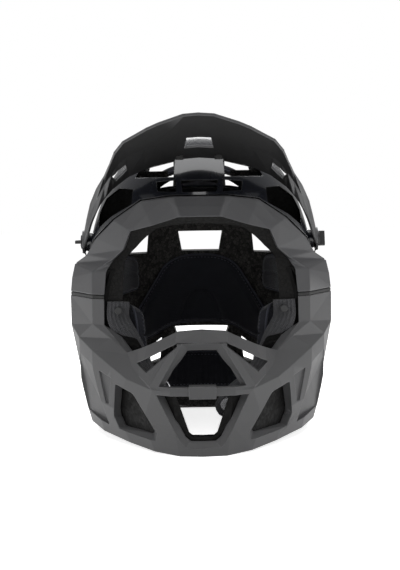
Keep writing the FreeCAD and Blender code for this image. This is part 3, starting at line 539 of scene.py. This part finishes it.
def round_edges(piece, width):
    """Welds corners that lie together and softens the sharp edges of a painted piece, so that they catch
    light.
    """
    joined = piece.modifiers.new("joined corners", "WELD")
    joined.merge_threshold = WELD_GAP
    soft = piece.modifiers.new("rounded edges", "BEVEL")
    soft.width = width
    soft.segments = EDGE_STEPS
    soft.limit_method = "ANGLE"
    soft.angle_limit = math.radians(EDGE_ANGLE)
    soft.harden_normals = True
    soft.use_clamp_overlap = False


# The head cavity as the liner has it, in millimetres. A level is a height, and a depth lies inside the wall.

CAVITY_HALF = 82.5
CAVITY_TOP = 244.5
CAVITY_STRETCH = 1.24
WIDEST_LEVEL = 125.0
LOWER_DEPTH = 210.0
OVAL = 2 / 2.4


def cavity_half_width(level, depth):
    """Half the width of the cavity at a level. It closes towards the crown and narrows below."""
    top = CAVITY_TOP - depth
    reach = top - WIDEST_LEVEL if level > WIDEST_LEVEL else LOWER_DEPTH
    share = min(abs(level - WIDEST_LEVEL) / reach, 1.0)
    return (CAVITY_HALF - depth) * (1 - share ** 2) ** (OVAL / 2)


def on_front(x, level, depth):
    """A place on the front wall, and below the same on the rear wall, a side wall and the crown."""
    return Vector((x, -on_rear(x, level, depth).y, level))


def on_rear(x, level, depth):
    half = cavity_half_width(level, depth)
    return Vector((x, CAVITY_STRETCH * math.sqrt(max(half ** 2 - x ** 2, 0.0)), level))


def on_side(along, level, depth):
    half = cavity_half_width(level, depth)
    return Vector((math.sqrt(max(half ** 2 - (along / CAVITY_STRETCH) ** 2, 0.0)), along, level))


def on_top(x, along, depth):
    half = math.hypot(x, along / CAVITY_STRETCH)
    share = math.sqrt(max(1 - (half / (CAVITY_HALF - depth)) ** (2 / OVAL), 0.0))
    return Vector((x, along, WIDEST_LEVEL + share * (CAVITY_TOP - depth - WIDEST_LEVEL)))


def to_frame(point, side=1):
    """From millimetres round the middle of the head to the frame's metres, on either side."""
    return Vector((side * point.x, point.y + HEAD_BACK, point.z)) * MM


# Outlines in the flat

CORNER_CUT = 0.22
# In a mesh of even triangles the rows lie this share of the spacing apart.
ROW_SHARE = 0.87
# A mesh point stays at least this share of the spacing away from the outline.
RIM_SHARE = 0.55
TINY = 1e-12


def rounded(corners, rounds=3):
    """An outline with its corners cut again and again until they are round."""
    points = [Vector(corner) for corner in corners]
    for _ in range(rounds):
        cut = []
        for here, after in zip(points, points[1:] + points[:1]):
            cut += [here.lerp(after, CORNER_CUT), here.lerp(after, 1 - CORNER_CUT)]
        points = cut
    return points


def resampled(points, spacing, closed=True):
    """Evenly spaced points along a line of points."""
    line = points + points[:1] if closed else points
    lengths = [0.0]
    for here, after in zip(line, line[1:]):
        lengths.append(lengths[-1] + (after - here).length)
    count = max(int(lengths[-1] / spacing), 3)
    found, index = [], 0
    for step in range(count if closed else count + 1):
        goal = lengths[-1] * step / count
        while index < len(lengths) - 2 and lengths[index + 1] < goal:
            index += 1
        share = (goal - lengths[index]) / max(lengths[index + 1] - lengths[index], TINY)
        found.append(line[index].lerp(line[index + 1], min(share, 1.0)))
    return found


def distance_to_line(point, line, closed):
    """The distance from a point to the nearest run of a line of points."""
    best = math.inf
    for here, after in zip(line, line[1:] + line[:1] if closed else line[1:]):
        run = after - here
        share = (point - here).dot(run) / max(run.length_squared, TINY)
        near = here + run * min(max(share, 0.0), 1.0)
        best = min(best, (point - near).length)
    return best


def inside(point, outline):
    """Whether a point lies inside an outline, which a ray from it then crosses an odd number of times."""
    within = False
    for here, after in zip(outline, outline[1:] + outline[:1]):
        if (here.y > point.y) != (after.y > point.y):
            if point.x < here.x + (point.y - here.y) / (after.y - here.y) * (after.x - here.x):
                within = not within
    return within


def filled(outline, spacing):
    """Points and triangles that fill an outline."""
    low_x = min(point.x for point in outline)
    high_x = max(point.x for point in outline)
    low_y = min(point.y for point in outline)
    high_y = max(point.y for point in outline)
    points = list(outline)
    rows = int((high_y - low_y) / (spacing * ROW_SHARE)) + 1
    columns = int((high_x - low_x) / spacing) + 1
    for row in range(rows):
        for column in range(columns + 1):
            across = low_x + (column + 0.5 * (row % 2)) * spacing
            point = Vector((across, low_y + row * spacing * ROW_SHARE))
            if inside(point, outline) and distance_to_line(point, outline, True) > spacing * RIM_SHARE:
                points.append(point)
    ring = list(range(len(outline)))
    found = delaunay_2d_cdt(points, [], [ring], 1, 1e-6)
    return found[0], found[2]


def swell_at(away, edge):
    """How far a pad has swollen at a distance from its seam: 0 at the seam and 1 past its edge."""
    return math.sqrt(max(1 - (1 - min(away / edge, 1.0)) ** 2, 0.0))


def pad_piece(name, outline, place, near, wall, edge, channels, made, body, side):
    """A crowned pad on the cavity wall, whose two sides meet in a seam along the outline.

    The paths of its seam and of its row of stitches come with it.
    """
    spacing = sizes().pad_spacing / MM
    outline = resampled(outline, spacing)
    points, triangles = filled(outline, spacing)
    bm = bmesh.new()
    layer = bm.loops.layers.uv.new("flat")
    fronts, backs, flats = [], [], {}
    middle = near + wall / 2
    for point in points:
        away = distance_to_line(point, outline, True)
        swell = swell_at(away, edge)
        lift = wall / 2 * swell
        for line, width, depth in channels:
            gap = distance_to_line(point, line, False)
            lift -= depth * math.exp(-(gap / width) ** 2) * swell
        front = back = bm.verts.new(to_frame(place(point.x, point.y, middle + lift), side))
        if away >= ON_SEAM:
            back = bm.verts.new(to_frame(place(point.x, point.y, middle - wall / 2 * swell), side))
        fronts.append(front)
        backs.append(back)
        flats[front] = flats[back] = point
    for one, two, three in triangles:
        for corners in ((fronts[one], fronts[two], fronts[three]), (backs[three], backs[two], backs[one])):
            if len(set(corners)) == 3 and not bm.faces.get(corners):
                face = bm.faces.new(corners)
                for loop in face.loops:
                    loop[layer].uv = flats[loop.vert] * MM
    piece = new_piece(name, bm, made, body)
    outer = near + wall / 2 * (1 + swell_at(STITCH_INSET, edge))
    row = resampled(drawn_in(outline, STITCH_INSET), STITCH_PITCH / 2)
    seam = [place(point.x, point.y, middle) for point in outline]
    return piece, seam, [place(point.x, point.y, outer) for point in row]


def drawn_in(outline, inset):
    """An outline moved inwards by the same distance all round."""
    moved = []
    for index, here in enumerate(outline):
        run = outline[(index + 1) % len(outline)] - outline[index - 1]
        inwards = Vector((-run.y, run.x)).normalized()
        if not inside(here + inwards * INWARDS_TEST, outline):
            inwards = -inwards
        moved.append(here + inwards * inset)
    return moved


def ring_round(bm, middle, run, across, radius, sides):
    """A ring of points round the middle of a tube or a thread."""
    over = run.cross(across).normalized()
    ring = []
    for step in range(sides):
        angle = 2 * math.pi * step / sides
        ring.append(bm.verts.new(middle + (across * math.cos(angle) + over * math.sin(angle)) * radius))
    return ring


def join_rings(bm, near, far, shift=0):
    """Faces between two rings, of which the second may start some steps further round."""
    count = len(near)
    for step in range(count):
        two = (step + 1) % count
        bm.faces.new((near[step], near[two], far[(two + shift) % count], far[(step + shift) % count]))


def stitch_piece(name, path, radius, made, body, side=1, closed=True):
    """A row of separate stitches: every second run of a path is thread, thin where it enters the cloth."""
    bm = bmesh.new()
    places = [to_frame(point, side) for point in path]
    last = len(places) - (0 if closed else 1)
    for index in range(0, last - 1, 2):
        start, end = places[index], places[index + 1]
        run = (end - start).normalized()
        across = run.cross(STITCH_ASIDE).normalized()
        rings = [ring_round(bm, start.lerp(end, share), run, across, radius * width, STITCH_SIDES)
                 for share, width in STITCH_SHAPE]
        for near, far in zip(rings, rings[1:]):
            join_rings(bm, near, far)
        bm.faces.new(rings[0])
        bm.faces.new(list(reversed(rings[-1])))
    return new_piece(name, bm, made, body)


def piping_piece(name, path, radius, made, body, side):
    """A closed tube along the seam of a pad."""
    bm = bmesh.new()
    places = [to_frame(point, side) for point in path]
    rings = []
    for index, here in enumerate(places):
        run = (places[(index + 1) % len(places)] - places[index - 1]).normalized()
        across = run.cross(Vector((0.0, 0.0, 1.0)))
        if across.length < STEEP:
            across = run.cross(Vector((0.0, 1.0, 0.0)))
        rings.append(ring_round(bm, here, run, across.normalized(), radius, PIPING_SIDES))
    for near, far in zip(rings, rings[1:] + rings[:1]):
        nearest = min(range(PIPING_SIDES), key=lambda turn: (near[0].co - far[turn].co).length)
        join_rings(bm, near, far, nearest)
    return new_piece(name, bm, made, body)


def both(half):
    """A whole outline from its half on the wearer's left."""
    return list(half) + [(-across, up) for across, up in reversed(half)]


# Closer to the seam than this, a point of a pad lies on it.
ON_SEAM = 1e-4
# So far off the outline, in millimetres, a point shows which way is inwards.
INWARDS_TEST = 0.5
STITCH_INSET = 2.4
STITCH_PITCH = 3.4
STITCH_RADIUS = 0.00035
STITCH_SIDES = 6
# Along a stitch: how far, and how thick it is there.
STITCH_SHAPE = ((0.0, 0.35), (0.2, 1.0), (0.8, 1.0), (1.0, 0.35))
STITCH_ASIDE = Vector((0.3, 0.2, 0.9))
PIPING_SIDES = 8
# Where piping runs more steeply than this, its ring is laid out from another direction.
STEEP = 0.2
# How far from the wall of the cavity a pad starts, and how thick it is.
PAD_NEAR = 0.3
PAD_WALL = 5.7
CHEEK_NEAR = 2.1
CHEEK_WALL = 18.8
# The outlines of the pads: across or along the head, and up. The crown pad lies across and along.
BROW_PAD = ((-62, 206), (-52, 186), (-40, 190), (-34, 196), (-24, 192), (-12, 197), (0, 195),
            (12, 197), (24, 192), (34, 196), (40, 190), (52, 186), (62, 206), (40, 222), (-40, 222))
REAR_PAD = ((30, 154), (52, 118), (69, 90), (62, 70), (46, 76), (28, 87))
NAPE_PAD = ((30, 56), (44, 44), (43, 24), (28, 22))
TEMPLE_PAD = ((16, 124), (20, 120), (58, 122), (62, 126), (58, 150), (50, 155), (26, 155), (17, 150))
CROWN_PAD = ((-18, -40), (18, -40), (18, -20), (58, -8), (58, 14), (18, 20), (16, 70), (-16, 70),
             (-18, 20), (-58, 14), (-58, -8), (-18, -20))
CHEEK_PAD = ((-50, 44), (-44, 36), (14, 34), (22, 42), (24, 96), (16, 114), (-40, 116), (-50, 106))


# A pad in the middle has no left and right.
MIDDLE = (("", 1),)


def line_of(*points):
    return [Vector(point) for point in points]


def padded_set():
    """Every pad: name, outline, where it lies, near, wall, width of its round edge, channels, sides and body.

    A channel is a line with its width and its depth.
    """
    lobe = line_of((-20, 90), (-14, 108), (-6, 118), (6, 118), (14, 108), (20, 90))
    wings = [line_of((28, 150), (47, 118), (60, 92)), line_of((-28, 150), (-47, 118), (-60, 92))]
    rear = [(lobe, 2.0, 2.4)] + [(wing, 2.0, 2.0) for wing in wings]
    brow = [(line_of((x, 186), (x, 224)), 1.6, 1.4) for x in (-34, -12, 12, 34)]
    nape = [(line_of((x, 18), (x, 60)), 1.2, 1.7) for x in range(-36, 40, 6)]
    crown = [(line_of((-60, 3), (60, 3)), 1.3, 1.3), (line_of((0, -38), (0, 68)), 1.3, 1.3)]
    temple = [(line_of((14, 138), (64, 138)), 1.2, 1.0)]
    cheek = [(line_of((-50, 88), (24, 92)), 1.8, 2.6), (line_of((-14, 30), (-14, 88)), 1.8, 2.2)]
    return [
        ("brow_pad", BROW_PAD, on_front, PAD_NEAR, PAD_WALL, 5.0, brow, MIDDLE, "shell"),
        ("rear_pad", both(REAR_PAD), on_rear, PAD_NEAR, PAD_WALL, 5.0, rear, MIDDLE, "shell"),
        ("nape_pad", both(NAPE_PAD), on_rear, PAD_NEAR, PAD_WALL, 4.0, nape, MIDDLE, "shell"),
        ("crown_pad", CROWN_PAD, on_top, PAD_NEAR, PAD_WALL, 5.0, crown, MIDDLE, "shell"),
        ("temple_pad", TEMPLE_PAD, on_side, PAD_NEAR, PAD_WALL, 5.0, temple, SIDES, "shell"),
        ("cheek_pad", CHEEK_PAD, on_side, CHEEK_NEAR, CHEEK_WALL, 10.0, cheek, SIDES, "cheek"),
    ]


class HELMET_OT_pads(bpy.types.Operator):
    """Sews the pads of the head cavity, each with its channels and its piping"""
    bl_idname = "helmet.pads"
    bl_label = "Pads"

    def execute(self, context):
        colour = tuple(finish().fabric_colour)
        cover = fabric_material("pad_knit", colour, loops=700.0)
        ribbed = fabric_material("nape_knit", colour, loops=450.0)
        # The piping is the pad fabric painted lighter, a painted highlight that lets the seams read as lines.
        trim = fabric_material("pad_piping", toned(colour, 2.4), loops=1300.0, sheen=0.2)
        thread = thread_material("pad_thread", toned(colour, 4.0))
        for name, outline, place, near, wall, edge, channels, sides, body in padded_set():
            made = ribbed if name == "nape_pad" else cover
            smooth = rounded(outline, 2 if name in ("brow_pad", "crown_pad") else 3)
            for word, side in sides:
                full = name + ("_" + word if word else "")
                rides = "cheek_" + word if body == "cheek" else body
                piece, seam, sewn = pad_piece(full + "_cover", smooth, place, near, wall, edge, channels,
                                              made, rides, side)
                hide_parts(full)
                piping_piece(full + "_piping", seam, sizes().piping_radius, trim, rides, side)
                stitch_piece(full + "_stitches", sewn, STITCH_RADIUS, thread, rides, side)
        return {"FINISHED"}


# Straps

# The corners of the straps' middle lines, round the middle of the head, for the wearer's left side.
LONG_ROUTE = ((74, -56.9, 120), (74, -56.9, 104), (64, -66, 86), (54, -82, 66), (40, -97, 51),
              (27, -112, 42), (15, -121, 27))
SHORT_ROUTE = ((74, -56.9, 120), (74, -56.9, 104), (64, -66, 86), (54, -80, 66), (46, -88, 53))
# A strap's outer face looks forwards at its anchor, and turns to its own way over its first points.
ANCHOR_FACING = Vector((0.0, -1.0, 0.0))
STRAP_FACING = Vector((-0.25, -1.0, 0.25))
TURN_POINTS = 12
ROUTE_STEPS = 10
STRAP_WIDTH = 20.0
STRAP_WALL = 2.2
STRAP_COLUMNS = 24
# What is left of a strap's wall at its edge, squared, and of half its width at its tail.
EDGE_LEAST = 0.15
TAIL_LEAST = 2.0
RIBS = 6
# The rows of stitches across a strap: their distances along it, their height, margin and pieces.
TACK_ROWS = (24.0, 26.5, 48.0, 50.5)
TACK_RADIUS = 0.0004
TACK_LIFT = 0.35
TACK_MARGIN = 1.5
TACK_PIECES = 12


def smooth_route(route):
    """Points of a smooth curve through the corners of a strap's route."""
    points = [Vector(point) for point in route]
    points = [points[0] * 2 - points[1]] + points + [points[-1] * 2 - points[-2]]
    found = []
    for index in range(1, len(points) - 2):
        before, here, after, beyond = points[index - 1:index + 3]
        for step in range(ROUTE_STEPS):
            t = step / ROUTE_STEPS
            found.append(0.5 * ((2 * here) + (after - before) * t
                                + (2 * before - 5 * here + 4 * after - beyond) * t * t
                                + (3 * here - before - 3 * after + beyond) * t ** 3))
    found.append(points[-2])
    return found


def strap_axes(before, after, index):
    """The way along a strap at one of its points, across it and outwards from it."""
    run = (after - before).normalized()
    across = run.cross(ANCHOR_FACING.lerp(STRAP_FACING, min(index / TURN_POINTS, 1.0))).normalized()
    return run, across, across.cross(run).normalized()


def strap_piece(name, route, made, side, tail):
    """Woven webbing with ribs along it, whose tail may be rounded."""
    path = smooth_route(route)
    bm = bmesh.new()
    layer = bm.loops.layers.uv.new("flat")
    rows, run_length = [], 0.0
    total = sum((after - here).length for here, after in zip(path, path[1:]))
    for index, here in enumerate(path):
        before, after = path[max(index - 1, 0)], path[min(index + 1, len(path) - 1)]
        _, across, outwards = strap_axes(before, after, index)
        if index:
            run_length += (here - path[index - 1]).length
        left = total - run_length
        half = STRAP_WIDTH / 2
        if tail and left < half:
            half = math.sqrt(max(half ** 2 - (half - left) ** 2, TAIL_LEAST ** 2))
        ring = []
        for face_side in (1, -1):
            for step in range(STRAP_COLUMNS + 1):
                share = step / STRAP_COLUMNS * 2 - 1
                rib = sizes().rib_height / MM * math.cos(share * RIBS * math.pi)
                wall = STRAP_WALL / 2 * math.sqrt(max(1 - share ** 8, EDGE_LEAST)) + rib * (1 - share ** 6)
                point = here + across * (share * half * face_side) + outwards * (wall * face_side)
                flat = Vector((share * half, run_length)) * MM
                ring.append((bm.verts.new(to_frame(point, side)), flat))
        rows.append(ring)
    for near, far in zip(rows, rows[1:]):
        for step, here in enumerate(near):
            two = (step + 1) % len(near)
            corners = (here, near[two], far[two], far[step])
            face = bm.faces.new([corner[0] for corner in corners])
            for loop, corner in zip(face.loops, corners):
                loop[layer].uv = corner[1]
    bm.faces.new([corner[0] for corner in rows[0]])
    bm.faces.new([corner[0] for corner in reversed(rows[-1])])
    return new_piece(name, bm, made, "shell")


def strap_tacks(name, route, made, side):
    """Rows of stitches across a strap, on its outer face."""
    path = smooth_route(route)
    run_length, rows = 0.0, []
    for index in range(1, len(path) - 1):
        step = (path[index] - path[index - 1]).length
        for distance in TACK_ROWS:
            if run_length <= distance < run_length + step:
                run, across, outwards = strap_axes(path[index - 1], path[index + 1], index)
                middle = path[index - 1] + run * (distance - run_length)
                rows.append((middle + outwards * (STRAP_WALL / 2 + TACK_LIFT), across))
        run_length += step
    reach = STRAP_WIDTH / 2 - TACK_MARGIN
    for number, (middle, across) in enumerate(rows):
        points = [middle + across * (reach * (2 * step / TACK_PIECES - 1)) for step in range(TACK_PIECES + 1)]
        label = "%s_tack_%d" % (name, number)
        stitch_piece(label, points, TACK_RADIUS, made, "shell", side, False)


class HELMET_OT_straps(bpy.types.Operator):
    """Weaves the long and the short chin strap"""
    bl_idname = "helmet.straps"
    bl_label = "Straps"

    def execute(self, context):
        made = webbing_material(tuple(finish().webbing_colour))
        thread = thread_material("strap_thread", toned(finish().webbing_colour, 2.5))
        long_strap = strap_piece("long_strap", LONG_ROUTE, made, 1, True)
        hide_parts("strap_left")
        short_strap = strap_piece("short_strap", SHORT_ROUTE, made, -1, False)
        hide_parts("strap_right")
        strap_tacks("long_strap", LONG_ROUTE, thread, 1)
        strap_tacks("short_strap", SHORT_ROUTE, thread, -1)
        return {"FINISHED"}


# Shells, foam, visor and hardware

SEAM_BLACK = (0.008, 0.008, 0.008)
RUBBER_BLACK = (0.012, 0.012, 0.012)
PLASTIC_BLACK = (0.014, 0.014, 0.015)
ANODISED_BLACK = (0.02, 0.02, 0.021)
STEEL = (0.5, 0.5, 0.52)
BRASS = (0.6, 0.45, 0.2)
# Above this height, in metres, light falls on the front foam through the vents.
LIT_FOAM_LEVEL = 0.226


class HELMET_OT_shells(bpy.types.Operator):
    """Paints the brow frame, the chin bar and both shells, and softens the edges of the frame and the chin
    bar
    """
    bl_idname = "helmet.shells"
    bl_label = "Shells"

    def execute(self, context):
        radius, paints = sizes().edge_radius, finish()
        frame_paint = paint_material("frame_satin", tuple(paints.frame_colour), SATIN_ROUGHNESS, SATIN_GRAIN)
        chin_paint = paint_material("chin_satin", tuple(paints.chin_colour), SATIN_ROUGHNESS, SATIN_GRAIN)
        lacquer = paint_material("shell_gloss", tuple(paints.shell_colour), roughness=0.26, grain=600.0,
                                 coat=0.6, wear_and_highlight=0.1)
        round_edges(give(node("brow_frame"), frame_paint), radius)
        round_edges(give(node("chin_bar"), chin_paint), radius * CHIN_EDGE_SHARE)
        for name in ("upper_shell", "rear_shell"):
            give(node(name), lacquer)
        dark = paint_material("seam_strip_matt", SEAM_BLACK, roughness=0.6, grain=2200.0)
        for strip in pair("seam_strip"):
            give(strip, dark)
        return {"FINISHED"}


class HELMET_OT_liner(bpy.types.Operator):
    """Gives the liner its beaded foam"""
    bl_idname = "helmet.liner"
    bl_label = "Liner"

    def execute(self, context):
        colour = finish().foam_colour
        # One foam in lit and shaded copies: the front foam is darker as painted shade inside the cavity and
        # paler above its level as painted light, the back and nape foam is paler as painted light on the rear
        # sills, and the chin foam is near black as painted shade in the vents.
        pale = toned(colour, 3.2)
        give(node("crown_liner"), foam_material("front_foam", toned(colour, 0.6), pale, LIT_FOAM_LEVEL))
        made = foam_material("back_foam", pale)
        for name in ("back_liner", "nape_liner"):
            give(node(name), made)
        give(node("chin_liner"), foam_material("chin_foam", toned(colour, 0.18)))
        return {"FINISHED"}


class HELMET_OT_visor(bpy.types.Operator):
    """Paints the visor and gives its feet their rubber"""
    bl_idname = "helmet.visor"
    bl_label = "Visor"

    def execute(self, context):
        round_edges(give(node("visor"), visor_material(tuple(finish().visor_colour))), VISOR_EDGE)
        rubber = paint_material("foot_rubber", RUBBER_BLACK, roughness=0.75, grain=1200.0)
        for foot in pair("visor_bumper"):
            give(foot, rubber)
        return {"FINISHED"}


class HELMET_OT_hardware(bpy.types.Operator):
    """Finishes screws, washers, inserts, rings, rivets and the cheek pads' plates"""
    bl_idname = "helmet.hardware"
    bl_label = "Hardware"

    def execute(self, context):
        black = paint_material("screw_anodised", ANODISED_BLACK, roughness=0.4, grain=2400.0)
        steel = metal_material("strap_steel", STEEL, roughness=0.32)
        brass = metal_material("insert_brass", BRASS, roughness=0.35)
        plastic = paint_material("plate_plastic", PLASTIC_BLACK, roughness=0.55, grain=900.0)
        for name, made in (("thumb_screw", black), ("visor_washer", plastic), ("screw_insert", brass),
                           ("strap_anchor", plastic), ("strap_rivet", black), ("cheek_plate", plastic)):
            for piece in pair(name):
                give(piece, made)
        for screw in pair("thumb_screw"):
            round_edges(screw, SCREW_EDGE)
        for name in ("strap_ring_front", "strap_ring_rear", "snap_button"):
            give(node(name), steel)
        return {"FINISHED"}


# Stage. The camera stands where it sees the helmet as the photograph does, in metres and degrees.

CAMERA_PLACE = (-0.0008, -1.2156, 0.2173)
CAMERA_PITCH = 4.0
CAMERA_ROLL = -0.9
CAMERA_LENS = 84.5
SENSOR_WIDTH = 36.0
LIT_PLACE = (0.0, 0.0, 0.13)
# Each light: its name, place and size, and the setting that holds its power.
LIGHTS = (
    ("overhead", (0.0, -0.25, 1.5), (1.6, 1.2), "key_power"),
    ("side_left", (1.3, -0.7, 0.5), (0.9, 1.2), "side_power"),
    ("side_right", (-1.3, -0.7, 0.5), (0.9, 1.2), "side_power"),
    ("low_front", (0.0, -1.5, 0.05), (1.6, 0.5), "low_power"),
    ("behind", (0.0, 1.1, 1.0), (1.4, 0.7), "back_power"),
)
WHITE = (1.0, 1.0, 1.0, 1.0)
FLOOR_HALF = 6.0
FLOOR_COLOUR = (0.88, 0.88, 0.88, 1.0)
FLOOR_GLOW = 0.8


def area_light(name, place, size, power):
    """A rectangular light that looks at the helmet."""
    lamp = bpy.data.lights.new(name, "AREA")
    lamp.shape = "RECTANGLE"
    lamp.size, lamp.size_y = size
    lamp.energy = power
    piece = bpy.data.objects.new(name, lamp)
    piece.location = place
    piece.rotation_euler = (Vector(LIT_PLACE) - Vector(place)).to_track_quat("-Z", "Y").to_euler()
    bpy.context.scene.collection.objects.link(piece)


class HELMET_OT_stage(bpy.types.Operator):
    """Lays the pale floor and sets the camera and the soft studio light"""
    bl_idname = "helmet.stage"
    bl_label = "Stage"

    def execute(self, context):
        stage = context.scene.helmet_stage
        self.lay_floor()
        self.light_world(stage.sky_strength)
        for name, place, size, power in LIGHTS:
            area_light(name, place, size, getattr(stage, power))
        lens = bpy.data.cameras.new("camera")
        lens.lens = CAMERA_LENS
        lens.sensor_width = SENSOR_WIDTH
        camera = bpy.data.objects.new("camera", lens)
        camera.location = CAMERA_PLACE
        look = Matrix.Rotation(math.radians(90 - CAMERA_PITCH), 4, "X")
        camera.rotation_euler = (look @ Matrix.Rotation(math.radians(CAMERA_ROLL), 4, "Z")).to_euler()
        context.scene.collection.objects.link(camera)
        context.scene.camera = camera
        context.scene.view_settings.view_transform = "Standard"
        return {"FINISHED"}

    def lay_floor(self):
        """A pale floor that takes the shadow, and that camera and gloss see nearly white."""
        bm = bmesh.new()
        bmesh.ops.create_grid(bm, x_segments=2, y_segments=2, size=FLOOR_HALF)
        mesh = bpy.data.meshes.new("floor")
        bm.to_mesh(mesh)
        bm.free()
        floor = bpy.data.objects.new("floor", mesh)
        floor.location.z = CAD_BOX[0].z
        bpy.context.scene.collection.objects.link(floor)
        made = bpy.data.materials.new("pale_floor")
        made.use_nodes = True
        tree = made.node_tree
        shader = tree.nodes["Principled BSDF"]
        shader.inputs["Base Color"].default_value = FLOOR_COLOUR
        shader.inputs["Roughness"].default_value = 0.9
        rays = tree.nodes.new("ShaderNodeLightPath")
        shader.inputs["Emission Color"].default_value = WHITE
        seen = math_node(tree, "MAXIMUM", rays.outputs["Is Camera Ray"], rays.outputs["Is Glossy Ray"])
        link(tree, math_node(tree, "MULTIPLY", seen, FLOOR_GLOW), shader.inputs["Emission Strength"])
        give(floor, made)

    def light_world(self, strength):
        """A pale surround that the camera sees white."""
        world = bpy.data.worlds.new("surround")
        bpy.context.scene.world = world
        world.use_nodes = True
        tree = world.node_tree
        back = tree.nodes["Background"]
        back.inputs["Color"].default_value = WHITE
        rays = tree.nodes.new("ShaderNodeLightPath")
        seen = math_node(tree, "MAXIMUM", rays.outputs["Is Camera Ray"], rays.outputs["Is Transmission Ray"])
        level = math_node(tree, "MULTIPLY_ADD", seen, 1.0 - strength, strength)
        link(tree, level, back.inputs["Strength"])


class HELMET_PT_panel(bpy.types.Panel):
    bl_idname = "HELMET_PT_panel"
    bl_label = "Full-face helmet"
    bl_space_type = "VIEW_3D"
    bl_region_type = "UI"
    bl_category = "Helmet"

    def draw(self, context):
        for settings in (finish(), sizes(), context.scene.helmet_stage):
            box = self.layout.box()
            for name in settings.__annotations__:
                box.prop(settings, name)
        for operator in OPERATORS:
            self.layout.operator(operator.bl_idname)


OPERATORS = (HELMET_OT_stage, HELMET_OT_shells, HELMET_OT_liner, HELMET_OT_visor, HELMET_OT_pads,
             HELMET_OT_straps, HELMET_OT_hardware)
SETTINGS = (("helmet_finish", HelmetFinish), ("helmet_sizes", HelmetSizes), ("helmet_stage", HelmetStage))


def register():
    for name, group in SETTINGS:
        bpy.utils.register_class(group)
        setattr(bpy.types.Scene, name, bpy.props.PointerProperty(type=group))
    for each in OPERATORS + (HELMET_PT_panel,):
        bpy.utils.register_class(each)


def unregister():
    for each in reversed(OPERATORS + (HELMET_PT_panel,)):
        bpy.utils.unregister_class(each)
    for name, group in reversed(SETTINGS):
        delattr(bpy.types.Scene, name)
        bpy.utils.unregister_class(group)


def main():
    register()
    bpy.ops.helmet.stage()
    bpy.ops.helmet.shells()
    bpy.ops.helmet.liner()
    bpy.ops.helmet.visor()
    bpy.ops.helmet.pads()
    bpy.ops.helmet.straps()
    bpy.ops.helmet.hardware()


if __name__ == "__main__":
    main()
